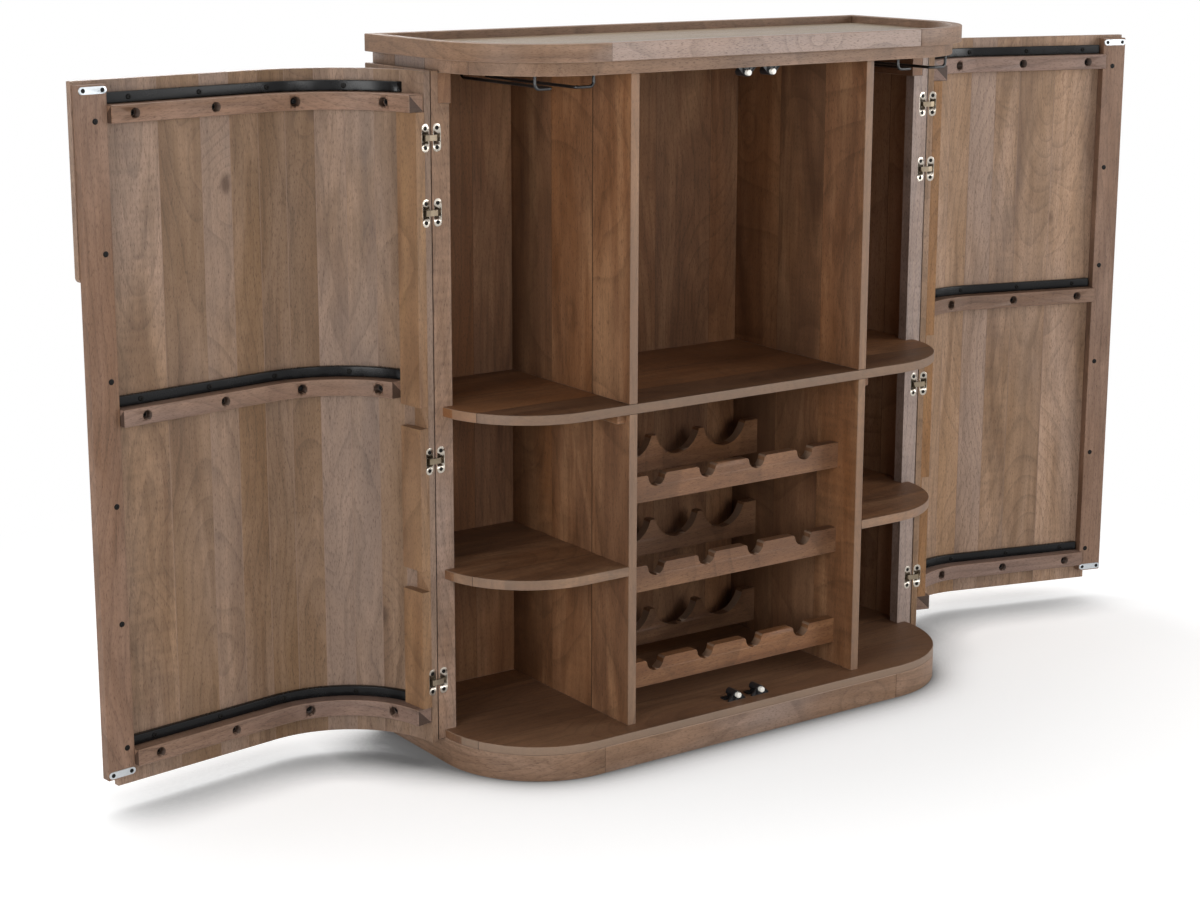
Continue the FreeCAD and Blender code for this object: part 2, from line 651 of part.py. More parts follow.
def bent_wire(corners, radius, bend_radius):
    """Round wire along straight legs joined by tangent bends."""
    edges = []
    start = corners[0]
    for n in range(1, len(corners) - 1):
        here = corners[n]
        back = (corners[n - 1] - here).normalize()
        ahead = (corners[n + 1] - here).normalize()
        first, last = here + back * bend_radius, here + ahead * bend_radius
        centre = first + ahead * bend_radius
        halfway = centre + (here - centre).normalize() * bend_radius
        edges.append(Part.LineSegment(start, first).toShape())
        edges.append(Part.Arc(first, halfway, last).toShape())
        start = last
    edges.append(Part.LineSegment(start, corners[-1]).toShape())
    path = Part.Wire(edges)
    lead = (corners[1] - corners[0]).normalize()
    profile = Part.Wire(Part.Circle(corners[0], lead, radius).toShape())
    return path.makePipeShell([profile], True, False)


def build_stem_holders():
    front = size("top_front + stem_front_setback")
    back = front + size("stem_length")
    top, low = size("sub_top_low"), size("sub_top_low - stem_drop")
    rods = []
    for side, word in SIDES:
        for hand in (LEFT, RIGHT):
            x = side * size("bay_middle") + hand * size("stem_gap") / 2
            flare = x + hand * size("stem_flare")
            corners = [Vector(x, back, top), Vector(x, back, low), Vector(x, front, low),
                       Vector(flare, front, low), Vector(flare, front, top)]
            rods.append(bent_wire(corners, size("wire_radius"), size("wire_bend")))
    holders = doc.addObject("Part::Feature", "stem_holders")
    holders.Shape = Part.makeCompound(rods)
    keep(place(holders), "stem_holders")


def outline_plate(name, points, tall):
    """Straight-sided plate, every corner placed from the body origin."""
    body, sketch = new_body(name)
    spots = [(size(x), size(y)) for x, y in points]
    count = len(points)
    for n in range(count):
        start, end = spots[n], spots[(n + 1) % count]
        sketch.addGeometry(Part.LineSegment(Vector(*start, 0), Vector(*end, 0)), False)
    for n in range(count):
        rule(sketch, "Coincident", n, 2, (n + 1) % count, 1)
    for n in range(count):
        for kind, text, value in (("DistanceX", points[n][0], spots[n][0]), ("DistanceY", points[n][1], spots[n][1])):
            ends, signed = ((-1, 1, n, 1), text) if value > 0 else ((n, 1, -1, 1), "-(%s)" % text)
            rule(sketch, kind, *ends, name="%s_%d" % (kind, n), text=signed)
    pad(body, sketch, tall)
    return body


# Hinge links: hooked arms, pinned in the stile cups, that reach into the door cups
def build_links(side, word):
    back = "hollow_far - link_gap"
    inside = "%s - link_web" % back
    pin_deep = "hinge_gap / 2 + pin_in"
    eye = "pin_across - link_clearance"
    pin_from = "hollow_near + pin_across"
    bottom = "toe_gap - hinge_gap / 2 - cup_depth + cup_wall"
    tip = "hollow_near + toe_gap"
    corners = [
        (back, "%s + %s - link_shoulder" % (pin_deep, eye)),
        ("%s - link_shoulder" % back, "%s + %s" % (pin_deep, eye)),
        (pin_from, "%s + %s" % (pin_deep, eye)),
        (pin_from, "%s - (%s)" % (pin_deep, eye)),
        (inside, "%s - (%s)" % (pin_deep, eye)),
        (inside, "-link_drop"),
        ("%s - knee_across" % inside, "-link_drop - knee_down"),
        (tip, "%s + toe_thick" % bottom),
        (tip, bottom),
        ("%s - heel_in" % back, bottom),
        (back, "%s + heel_rise" % bottom),
    ]
    points = [(flip(side, "-(%s)" % across), along) for across, along in corners]
    links = []
    for height in HINGE_HEIGHTS:
        low = "%s - link_height / 2" % height
        arm = outline_plate("link_arm_%s_%s" % (word, height), points, "link_height")
        place(arm, flip(side, "hinge_x"), "hinge_line", low)
        knuckle = round_bar(eye, "link_height", flip(side, "pin_x"), "pin_y", low)
        hole = round_bar("pin_radius + link_clearance", "link_height + 2 * over_cut", flip(side, "pin_x"), "pin_y",
                         "%s - over_cut" % low)
        links.append(cut(fuse([arm, knuckle]), [hole], "hinge_link_%s_%s" % (word, height)))
    lead = swing(side, "pin_x", "pin_y", "link_turn_share")
    keep(place(group(links, "hinge_links_" + word), lead=lead), "hinge_links_" + word)


# Push latches: fixed barrels with a foot, and the tips that slide in them
def build_latches():
    solids, bores = [], []
    for level, up in (("deck", True), ("top", False)):
        axis_z = "deck_top + latch_axis" if up else "sub_top_low - latch_axis"
        foot_z = "deck_top" if up else "sub_top_low - latch_plate_thick"
        web_z = "deck_top" if up else "sub_top_low - latch_axis"
        for side, word in SIDES:
            middle = flip(side, "latch_spacing / 2")
            solids.append(round_bar("latch_radius", "latch_length", middle, "latch_front + latch_length",
                                    axis_z, "90", ACROSS))
            solids.append(block("latch_web", "latch_length", "latch_axis", middle + " - latch_web / 2",
                                "latch_front", web_z))
            solids.append(block("latch_plate_width", "latch_plate_depth", "latch_plate_thick",
                                middle + " - latch_plate_width / 2", "latch_front + latch_length - latch_plate_depth",
                                foot_z))
            bore_deep = "latch_tip_length + latch_stroke + slide_clearance - latch_tip_reach"
            bores.append(round_bar("latch_tip_radius + slide_clearance", "%s + over_cut" % bore_deep, middle,
                                   "latch_front + (%s)" % bore_deep, axis_z, "90", ACROSS))
            body, sketch = new_body("latch_tip_%s_%s" % (level, word))
            sketch.addGeometry(Part.Circle(Vector(0, 0, 0), Vector(0, 0, 1), size("latch_tip_radius")), False)
            rule(sketch, "Coincident", 0, 3, -1, 1)
            rule(sketch, "Radius", 0, name="radius", text="latch_tip_radius")
            feature = pad(body, sketch, "latch_tip_length")
            reach = size("latch_tip_length - edge_ease")
            nose = body.newObject("PartDesign::Fillet", body.Name + "_nose")
            nose.Base = (feature, named_edges(feature, lambda edge: edge.CenterOfMass.z > reach))
            bind(nose, Radius="latch_tip_round")
            body.Tip = nose
            doc.recompute()
            keep(place(body, middle, "tip_front + latch_tip_length", axis_z, turn="90", axis=ACROSS),
                 "latch_tip_%s_%s" % (level, word))
    keep(place(cut(fuse(solids), bores, "latch_barrels")), "latch_barrels")


def stave_joints(side):
    """Thin cutters that part a door panel into staves."""
    cutters = []
    tall = "door_high - door_low + 2 * over_cut"
    low = "door_low - over_cut"
    deep = "panel_thick + 2 * over_cut"
    for place_x in ("arc_x - stave_width", "arc_x - 2 * stave_width", "arc_x - 2 * stave_width - stave_broad"):
        cutters.append(block("stave_kerf", deep, tall, from_middle(side, place_x, "stave_kerf"),
                             "-half_depth - over_cut", low))
    for n in range(6):
        angle = "%d * stave_angle - 90" % n if side == RIGHT else "-90 - %d * stave_angle" % n
        cutter = doc.addObject("Part::Box", "Joint")
        bind(cutter, Length=deep, Width="stave_kerf", Height=tall)
        radial = spot(flip(side, "arc_x"), "arc_y", low, angle)
        cutter.setExpression("Placement", radial + " * " + spot("panel_radius - over_cut", "-stave_kerf / 2", "0"))
        cutters.append(cutter)
    return cutters


def rail_bores(side, z, stop, last_back):
    """Counterbore cutters along a curved door rail, square to its face."""
    cutters = []
    radius = "corner_radius - rail_plane"
    spots = ["bore_first + %d * bore_pitch" % n for n in range(4)]
    spots[-1] += " - " + last_back
    for along in spots:
        if size(along) > stop:
            continue
        bore = doc.addObject("Part::Cylinder", "Bore")
        bind(bore, Radius="bore_radius", Height="bore_depth + over_cut")
        height = "%s + door_rail_height / 2" % z
        if size(along) < size("arc_x"):
            place(bore, flip(side, along), "rail_plane + over_cut - half_depth", height, turn="90", axis=ACROSS)
        else:
            swept = "(%s - arc_x) / (%s) * 180 / 3.14159265" % (along, radius)
            turn = swept if side == RIGHT else "-(%s)" % swept
            inward = "placement(vector(0; %s; 0); rotation(%s; 90))" % (ref("over_cut - (%s)" % radius), ACROSS)
            bore.setExpression("Placement", spot(flip(side, "arc_x"), "arc_y", height, turn) + " * " + inward)
        cutters.append(bore)
    return cutters


def build_door(side, word):
    tall = "door_high - door_low"
    blank = bend("door_blank_" + word, side, "corner_radius", "panel_radius", "arc_x - door_gap / 2",
                 "door_edge - arc_y", tall, "door_low", eased=False)
    cups = cup_bodies(side, "door_edge", -1)
    pull = block("pull_cut", "panel_thick + 2 * over_cut", "pull_top - door_low + over_cut",
                 from_middle(side, "0", "pull_cut"), "-half_depth - over_cut", "door_low - over_cut")
    staves = cut(blank, stave_joints(side) + [pull, cups], "door_staves_" + word)
    keep(place(staves, door=side), "door_staves_" + word)
    hollow = cut(cups, cup_hollows(side, "door_edge", -1), "hinge_cups_door_" + word)
    keep(place(hollow, door=side), "hinge_cups_door_" + word)

    inner_low, inner_high = "deck_top + inner_end_gap", "sub_top_low - inner_end_gap"
    board("meeting_stile_" + word, "meeting_stile_width", "meeting_stile_thick",
          "%s - (%s)" % (inner_high, inner_low), from_middle(side, "meeting_stile_inset", "meeting_stile_width"),
          "panel_thick - half_depth", inner_low, door=side)

    batten_low = "rail_low + door_rail_height"
    batten_near = "half_width - stile_plane"
    batten = block("meeting_stile_thick", "batten_width", "rail_high - (%s)" % batten_low,
                   from_middle(side, batten_near, "meeting_stile_thick"), "batten_front", batten_low)
    notch_wide = "meeting_stile_thick - notch_web + over_cut"
    notches = [block(notch_wide, "batten_width + 2 * over_cut", "shelf_thick + notch_low + notch_high",
                     from_middle(side, "%s - over_cut" % batten_near, notch_wide), "batten_front - over_cut",
                     "%s - notch_low" % shelf) for shelf in ("mid_shelf_height", "low_shelf_height")]
    shaped = cut(batten, [blank, cups] + notches, "hinge_batten_" + word)
    keep(place(shaped, door=side), "hinge_batten_" + word)

    rail_near = "meeting_stile_inset + meeting_stile_width"
    inner = "corner_radius - rail_plane"
    stop_short = "half_depth"
    for level in ("low", "mid", "high"):
        label = "door_rail_%s_%s" % (level, word)
        under = "rail_" + level
        rail = bend(label + "_blank", side, "panel_radius", inner, "arc_x - (%s)" % rail_near,
                    "door_edge - arc_y - door_rail_end", "door_rail_height", under)
        cutters = rail_bores(side, under, size("overall_depth + half_depth"), "bore_back" if level == "mid" else "0")
        if level == "mid":
            cutters.append(block("half_width", stop_short, "door_rail_height + 2 * over_cut",
                                 from_middle(side, "arc_x", "half_width"), "batten_front",
                                 "%s - over_cut" % under))
        keep(place(cut(rail, cutters, label), door=side), label)
    bars = []
    for level in ("low", "mid", "high"):
        over = "rail_%s + door_rail_height + bar_lift" % level
        bar = bend("door_bar_blank_%s_%s" % (level, word), side, "panel_radius", "panel_radius - bar_thick",
                   "arc_x - (%s) - bar_end" % rail_near, "door_edge - arc_y", "bar_height", over)
        ending = block("half_width", stop_short, "bar_height + 2 * over_cut",
                       from_middle(side, "arc_x", "half_width"), "batten_front", "%s - over_cut" % over)
        bars.append(cut(bar, [ending], "door_bar_%s_%s" % (level, word)))
    keep(place(group(bars, "door_bars_" + word), door=side), "door_bars_" + word)

    plates = []
    for height in ("deck_top + latch_axis", "sub_top_low - latch_axis"):
        straight = "strike_length - strike_height"
        near = "meeting_stile_inset + (meeting_stile_width - (%s)) / 2" % straight
        front = "stile_plane - half_depth"
        plates.append(block(straight, "strike_thick", "strike_height", from_middle(side, near, straight), front,
                            "%s - strike_height / 2" % height))
        for end in (near, "%s + %s" % (near, straight)):
            plates.append(round_bar("strike_height / 2", "strike_thick", flip(side, end),
                                    "%s + strike_thick" % front, height, "90", ACROSS))
    keep(place(fuse(plates), door=side), "strike_plates_" + word)


build_base()
build_top()
build_carcass()
build_shelves()
build_rack()
build_stem_holders()
build_latches()
for door_side, door_word in SIDES:
    build_links(door_side, door_word)
    build_door(door_side, door_word)

doc.recompute()
for item in doc.Objects:
    if "Invalid" in item.State or "Error" in item.State:
        raise RuntimeError("failed object: %s %s" % (item.Label, item.State))
os.makedirs("parts", exist_ok=True)
for piece in PIECES:
    shape = piece.Shape
    if shape.isNull() or not shape.isValid() or not shape.Solids:
        raise RuntimeError("bad shape: " + piece.Label)
    shape.exportStep("parts/%s.step" % piece.Label)
print("%d pieces, %d solids" % (len(PIECES), sum(len(piece.Shape.Solids) for piece in PIECES)))
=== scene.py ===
import math
import random

import bmesh
import bpy
from mathutils import Matrix, Vector


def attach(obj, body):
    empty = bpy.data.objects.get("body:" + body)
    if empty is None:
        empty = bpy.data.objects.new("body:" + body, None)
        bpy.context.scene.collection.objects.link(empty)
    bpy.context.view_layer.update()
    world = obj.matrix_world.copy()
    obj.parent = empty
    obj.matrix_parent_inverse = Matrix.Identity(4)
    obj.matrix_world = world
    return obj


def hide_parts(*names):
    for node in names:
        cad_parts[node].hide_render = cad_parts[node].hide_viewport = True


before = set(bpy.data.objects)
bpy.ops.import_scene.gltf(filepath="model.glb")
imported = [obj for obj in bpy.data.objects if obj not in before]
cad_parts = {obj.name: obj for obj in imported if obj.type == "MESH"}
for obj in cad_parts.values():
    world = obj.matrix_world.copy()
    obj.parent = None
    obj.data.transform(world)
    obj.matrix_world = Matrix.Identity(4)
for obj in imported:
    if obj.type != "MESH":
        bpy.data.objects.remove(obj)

# Sizes are in millimetres, in the frame of the built part: the front faces -y
MM = 0.001
SIDES = {"left": -1, "right": 1}
LEVELS = ("low", "mid", "high")
ACROSS_X, ACROSS_Y = 0, 1
INWARD = Vector((0, 1, 0))
UPWARD = Vector((0, 0, 1))

# The front, and the arc that the doors, rim and base follow round each corner
FRONT = -200
ARC_X, ARC_Y, ARC_OUT = 324, -10, 190

# A door, drawn closed on the right: depths from its outside, staves, and the step that makes the pull
DOOR_LOW, DOOR_HIGH, DOOR_EDGE = 41, 1122, -4.5
PANEL_THICK, BAR_PLANE, STILE_PLANE, RAIL_PLANE = 11, 20, 28, 39
STAVE_JOINTS = (145, 220, 272, ARC_X)
STAVE_TURN, STAVE_STEPS, CORNER_STAVES, STAVE_EASE = 15, 6, 6, 0.5
FREE_EDGE, PULL_EDGE, PULL_TOP, PULL_ROUND = 1.5, 30, 828, 8

# Hinges: their axis, how far each door stands open in degrees, and where their leaves are screwed
HINGE_X, HINGE_Y = 515.2, -4
OPEN_TURN = {"left": -172, "right": 165}
HINGE_HEIGHTS = (143, 510, 904, 1020)
LEAF_X, LEAF_REACH, STILE_EDGE = 504.3, 15, -3.5

# Screws of a door: along its rails and bars, across and up its stile, and on its strike plates
RAIL_HEIGHTS = (75, 609, 1060)
RAIL_TALL, BAR_TALL, BAR_LIFT = 27, 16, 1
BORES, BORE_FIRST, BORE_STEP, BORE_DEPTH, LAST_BORE_BACK = 4, 91, 140, 12, 18
BAR_SCREW_FIRST, BAR_SCREW_STEP = 92, 122
STILE_SCREWS = ((30, 1064), (38, 870), (38, 679), (38, 488), (38, 304), (38, 106))
PLATE_HEIGHTS = (68, 1109)
PLATE_X, PLATE_REACH, PLATE_THICK = 27.25, 16, 1.5
# Radius and height of each kind of screw head
STILE_HEAD, RAIL_HEAD, BAR_HEAD = (4.6, 0.5), (4.6, 3), (4, 1.8)
PLATE_HEAD, LEAF_HEAD = (3.4, 0.25), (3.4, 0.3)
# Shape of a head: its straight rim and recess as shares of the height, its dome, flat and the recess's
# slope as shares of the radius
HEAD_STEPS, HEAD_RIM, HEAD_RECESS, HEAD_DOME, HEAD_FLAT, HEAD_SLOPE = 16, 0.5, 0.7, 0.3, 0.28, 0.1

# Push latches: the seat of each pair and which way is up from it, then outlines of the round pieces as
# radii and distances back from the barrel's front, and corners of the pieces that carry the barrel
LATCH_X, LATCH_FRONT, LATCH_AXIS, LATCH_STEPS = 25, -164.1, 10, 32
LATCH_SEATS = {"deck": (58, 1), "top": (1119, -1)}
LATCH_BARREL = ((0, 24), (5.9, 24), (6.5, 23.4), (6.5, 0.4), (6.2, 0), (5.7, 0), (5.7, 7), (4.3, 7),
                (4.3, 16.6), (0, 16.6))
LATCH_TIP = ((0, -6), (3.9, -6), (4.5, -5.7), (4.8, -5), (4.8, 0.8), (3.9, 0.8), (3.9, 11), (0, 11))
LATCH_WEB = (-4, 0.5, 0), (4, 23, 4.2)
LATCH_FOOT = (-18, 11, 0), (18, 23.5, 2.5)
# The rib on each side of a barrel, seen from the front, with its rim and hollow
LATCH_RIB = ((18, 0), (18, 1.8), (7.3, 12.4), (5.9, 12.4), (5.9, 0))
RIB_FRONT, RIB_THICK, RIB_RIM, RIB_DRAFT, RIB_HOLLOW = 0.4, 3, 1, 0.15, 1.8

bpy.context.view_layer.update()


# Materials

def paint(code):
    """An sRGB hex colour as linear red, green, blue and a full alpha."""
    shares = [int(code[n:n + 2], 16) / 255 for n in (1, 3, 5)]
    return [s / 12.92 if s <= 0.04045 else ((s + 0.055) / 1.055) ** 2.4 for s in shares] + [1]


PORE_BROWN = paint("#3A2416")
# Glue lines, and the painted shade of open joints and drilled bores
GLUE_AND_SHADE_BROWN = paint("#2A1C14")
FLOOR_WHITE = paint("#F4F4F4")
WHITE, BLACK = [1, 1, 1, 1], [0, 0, 0, 1]


def add(tree, kind, sockets=None, stops=None, **settings):
    """One node with its settings, the values or links of its sockets, and its colour stops."""
    node = tree.nodes.new("ShaderNode" + kind)
    for name, value in settings.items():
        setattr(node, name, value)
    for name, value in (sockets or {}).items():
        if isinstance(value, bpy.types.NodeSocket):
            tree.links.new(value, node.inputs[name])
        else:
            node.inputs[name].default_value = value
    if stops:
        marks = node.color_ramp.elements
        while len(marks) < len(stops):
            marks.new(1)
        for mark, (place, colour) in zip(marks, stops):
            mark.position = place
            mark.color = colour
    return node


def blank(name):
    """An empty node material and its output node."""
    made = bpy.data.materials.new(name)
    made.use_nodes = True
    made.node_tree.nodes.clear()
    return made, made.node_tree, add(made.node_tree, "OutputMaterial")


def cells(along, across):
    """The Mapping scale that gives a pattern cells of these millimetres, along and across the grain."""
    return 1 / (along * MM), 1 / (across * MM), 1 / (across * MM)


def mango_shading(tree, grain, pale, mid, dark, figure):
    """Soft shading about 60 mm wide and 400 mm long, under streaks 4 mm wide and mottling 35 mm across.
    Gives the colour, and the soft shading on its own."""
    band_map = add(tree, "Mapping", {"Vector": grain, "Scale": cells(400, 58.8)})
    band = add(tree, "TexNoise", {"Vector": band_map.outputs["Vector"], "Scale": 1, "Detail": 4,
                                  "Roughness": 0.6, "Distortion": 0.9})
    tint = add(tree, "ValToRGB", {"Fac": band.outputs["Fac"]},
               stops=[(0.3, paint(dark)), (0.5, paint(mid)), (0.7, paint(pale))])
    streak_map = add(tree, "Mapping", {"Vector": grain, "Scale": cells(143, 4.17)})
    streak = add(tree, "TexNoise", {"Vector": streak_map.outputs["Vector"], "Scale": 1, "Detail": 4,
                                    "Roughness": 0.65})
    mottle_map = add(tree, "Mapping", {"Vector": grain, "Scale": cells(71.4, 33.3)})
    mottle = add(tree, "TexNoise", {"Vector": mottle_map.outputs["Vector"], "Scale": 1, "Detail": 4,
                                    "Distortion": 0.6})
    both = add(tree, "Math", {0: streak.outputs["Fac"], 1: mottle.outputs["Fac"]}, operation="ADD")
    shade = add(tree, "MapRange", {"Value": both.outputs[0], "From Min": 0.6, "From Max": 1.4,
                                   "To Min": 1 - figure, "To Max": 1 + figure})
    shaded = add(tree, "HueSaturation", {"Color": tint.outputs["Color"], "Value": shade.outputs[0]})
    return shaded.outputs["Color"], band.outputs["Fac"]


def mango_patches(tree, grain, warmth, colour, warm, cool, glow):
    """Warm heartwood and grey wash, in patches about 150 mm across and by board."""
    patch_map = add(tree, "Mapping", {"Vector": grain, "Scale": cells(455, 143)})
    patch = add(tree, "TexNoise", {"Vector": patch_map.outputs["Vector"], "Scale": 1, "Detail": 3})
    share = add(tree, "Math", {0: patch.outputs["Fac"], 1: warmth}, operation="ADD")
    warm_share = add(tree, "MapRange", {"Value": share.outputs[0], "From Min": 0.45, "From Max": 0.85,
                                        "To Min": 0, "To Max": glow})
    cool_share = add(tree, "MapRange", {"Value": share.outputs[0], "From Min": 0.5, "From Max": 0.2,
                                        "To Min": 0, "To Max": glow})
    warmed = add(tree, "MixRGB", {"Fac": warm_share.outputs[0], "Color1": colour, "Color2": paint(warm)})
    washed = add(tree, "MixRGB", {"Fac": cool_share.outputs[0], "Color1": warmed.outputs["Color"],
                                  "Color2": paint(cool)})
    return washed.outputs["Color"]


def mango_knots(tree, grain, knots):
    """Small knots, about 13 mm across, that push the rings up to 35 mm aside. Gives their eyes and push."""
    knot_map = add(tree, "Mapping", {"Vector": grain, "Scale": cells(333, 200)})
    knot = add(tree, "TexVoronoi", {"Vector": knot_map.outputs["Vector"], "Scale": 1}).outputs["Distance"]
    push = add(tree, "MapRange", {"Value": knot, "From Min": 0, "From Max": 0.3,
                                  "To Min": 35 * MM, "To Max": 0}, interpolation_type="SMOOTHSTEP")
    eye = add(tree, "MapRange", {"Value": knot, "From Min": 0.02, "From Max": 0.07,
                                 "To Min": knots, "To Max": 0}, interpolation_type="SMOOTHSTEP")
    return eye.outputs[0], push.outputs[0]


def mango_rings(tree, grain, push, colour):
    """Rings about 12 mm apart round hearts that wander up to 130 mm below the face, so that they open into
    arches. A wave texture repeats every tau / 20 at scale 1."""
    cut = add(tree, "SeparateXYZ", {"Vector": grain}).outputs
    beside = add(tree, "Math", {0: cut["Y"], 1: 110 * MM}, operation="PINGPONG")
    wander = add(tree, "TexNoise", {"Vector": grain, "Scale": 1 / (625 * MM), "Detail": 1})
    below = add(tree, "MapRange", {"Value": wander.outputs["Fac"], "From Min": 0.3, "From Max": 0.7,
                                   "To Min": 0, "To Max": 130 * MM})
    heart = add(tree, "CombineXYZ", {"X": beside.outputs[0], "Y": below.outputs[0]})
    radius = add(tree, "VectorMath", {0: heart.outputs[0]}, operation="LENGTH")
    pushed = add(tree, "Math", {0: radius.outputs["Value"], 1: push}, operation="ADD")
    along = add(tree, "Math", {0: cut["X"], 1: 0.3}, operation="MULTIPLY")
    place = add(tree, "CombineXYZ", {"X": pushed.outputs[0], "Y": along.outputs[0]})
    ring = add(tree, "TexWave", {"Vector": place.outputs[0], "Scale": math.tau / 20 / (12.083 * MM),
                                 "Distortion": 2.5, "Detail": 2, "Detail Scale": 1.5,
                                 "Detail Roughness": 0.5},
               wave_type="BANDS", bands_direction="X", wave_profile="SAW")
    line = add(tree, "ValToRGB", {"Fac": ring.outputs["Fac"]},
               stops=[(0, WHITE), (0.7, [0.95] * 3 + [1]), (0.95, [0.66] * 3 + [1]), (1, WHITE)])
    ringed = add(tree, "MixRGB", {"Fac": 0.6, "Color1": colour, "Color2": line.outputs["Color"]},
                 blend_type="MULTIPLY")
    return ringed.outputs["Color"]


def mango_ripple(tree, grain, share, colour):
    """Ripple about 12 mm apart across the grain, where the board has it."""
    ripple_map = add(tree, "Mapping", {"Vector": grain, "Scale": cells(11.8, 62.5)})
    ripple = add(tree, "TexNoise", {"Vector": ripple_map.outputs["Vector"], "Scale": 1, "Detail": 1})
    shade = add(tree, "MapRange", {"Value": ripple.outputs["Fac"], "From Min": 0.3, "From Max": 0.7,
                                   "To Min": 0.9, "To Max": 1.1})
    level = add(tree, "Mix", {0: share, 2: 1, 3: shade.outputs[0]}, data_type="FLOAT")
    return add(tree, "HueSaturation", {"Color": colour, "Value": level.outputs[0]}).outputs["Color"]


def mango_pores(tree, grain, colour):
    """Pores 1.3 mm by 7 mm, coarser than the real ones so that they show. Gives the colour and the pores."""
    pore_map = add(tree, "Mapping", {"Vector": grain, "Scale": cells(7.14, 1.3)})
    pore = add(tree, "TexNoise", {"Vector": pore_map.outputs["Vector"], "Scale": 1, "Detail": 2,
                                  "Roughness": 0.6})
    mark = add(tree, "MapRange", {"Value": pore.outputs["Fac"], "From Min": 0.52, "From Max": 0.72,
                                  "To Min": 0, "To Max": 0.6})
    pored = add(tree, "MixRGB", {"Fac": mark.outputs[0], "Color1": colour, "Color2": PORE_BROWN})
    return pored.outputs["Color"], mark.outputs[0]


def washed_mango(name, pale, mid, dark, warm, cool, edge, roughness=0.5, spread=0.14, glow=0.5,
                 figure=0.2, knots=0.75):
    """Mango wood, sawn, glued up, stained and rubbed with a thin grey wash under satin lacquer.
    The eye sees boards of unlike tone, soft long shading, thin ring lines that open into arches, a few
    small knots, short dark pores, a faint ripple across some boards, and edges rubbed a little paler. Faces
    to the front are painted paler as a sheen, and open joints and bore walls darker as painted shade.
    Spread is how far boards differ in tone, glow how strong the warm and grey patches are, figure how
    strong the streaks are, and knots how dark the knots are."""
    made, tree, out = blank(name)
    grain, plank = (add(tree, "Attribute", attribute_name=n).outputs["Vector"] for n in ("grain", "plank"))
    joint_and_shade, wear_and_sheen = (add(tree, "Attribute", attribute_name=n).outputs["Fac"] for n in ("joint_and_shade", "wear_and_sheen"))
    board = add(tree, "SeparateXYZ", {"Vector": plank}).outputs

    colour, band = mango_shading(tree, grain, pale, mid, dark, figure)
    colour = mango_patches(tree, grain, board["Y"], colour, warm, cool, glow)
    eye, push = mango_knots(tree, grain, knots)
    colour = mango_rings(tree, grain, push, colour)
    knotted = add(tree, "MixRGB", {"Fac": eye, "Color1": colour, "Color2": PORE_BROWN})
    colour = mango_ripple(tree, grain, board["Z"], knotted.outputs["Color"])
    colour, pores = mango_pores(tree, grain, colour)

    # Board tone, rubbed edges with the painted sheen on front faces, and glue lines with painted shade in
    # open joints and bores
    level = add(tree, "MapRange", {"Value": board["X"], "From Min": -1, "From Max": 1,
                                   "To Min": 1 - spread, "To Max": 1 + spread}, clamp=False)
    toned = add(tree, "HueSaturation", {"Color": colour, "Value": level.outputs[0]})
    pale_share = add(tree, "Math", {0: wear_and_sheen, 1: 0.75}, operation="MULTIPLY")
    paled = add(tree, "MixRGB", {"Fac": pale_share.outputs[0], "Color1": toned.outputs["Color"],
                                  "Color2": paint(edge)})
    line = add(tree, "Math", {0: joint_and_shade, 1: 0.85}, operation="MULTIPLY")
    lined = add(tree, "MixRGB", {"Fac": line.outputs[0], "Color1": paled.outputs["Color"],
                                 "Color2": GLUE_AND_SHADE_BROWN})

    # Uneven satin gloss, and pores that dip below the face
    gloss = add(tree, "MapRange", {"Value": band, "From Min": 0.3, "From Max": 0.7,
                                   "To Min": roughness - 0.06, "To Max": roughness + 0.08})
    dip = add(tree, "Math", {0: pores, 1: -1}, operation="MULTIPLY")
    relief = add(tree, "Math", {0: band, 1: 0.3, 2: dip.outputs[0]}, operation="MULTIPLY_ADD")
    bump = add(tree, "Bump", {"Height": relief.outputs[0], "Strength": 0.4, "Distance": 0.6 * MM})
    wood = add(tree, "BsdfPrincipled", {"Base Color": lined.outputs["Color"], "Roughness": gloss.outputs[0],
                                        "Normal": bump.outputs["Normal"], "IOR": 1.5,
                                        "Specular IOR Level": 0.3})
    tree.links.new(wood.outputs[0], out.inputs["Surface"])
    return made


def specked(name, colour, second, roughness, speck_mm, relief_mm, metallic=0.0, shine=0.5):
    """A made surface with a fine uneven skin: two near colours in specks and in clouds about 80 mm across,
    uneven gloss and a shallow relief."""
    made, tree, out = blank(name)
    place = add(tree, "TexCoord").outputs["Object"]
    speck = add(tree, "TexNoise", {"Vector": place, "Scale": 1 / (speck_mm * MM), "Detail": 4,
                                   "Roughness": 0.6})
    cloud = add(tree, "TexNoise", {"Vector": place, "Scale": 1 / (83.33 * MM), "Detail": 3})
    share = add(tree, "Math", {0: speck.outputs["Fac"], 1: 0.5, 2: cloud.outputs["Fac"]},
                operation="MULTIPLY_ADD")
    tint = add(tree, "ValToRGB", {"Fac": share.outputs[0]}, stops=[(0.5, paint(colour)), (1, paint(second))])
    gloss = add(tree, "MapRange", {"Value": share.outputs[0], "From Min": 0.4, "From Max": 1.1,
                                   "To Min": roughness - 0.08, "To Max": roughness + 0.1})
    bump = add(tree, "Bump", {"Height": speck.outputs["Fac"], "Strength": 0.4, "Distance": relief_mm * MM})
    skin = add(tree, "BsdfPrincipled", {"Base Color": tint.outputs["Color"], "Roughness": gloss.outputs[0],
                                        "Normal": bump.outputs["Normal"], "Metallic": metallic,
                                        "Specular IOR Level": shine})
    tree.links.new(skin.outputs[0], out.inputs["Surface"])
    return made


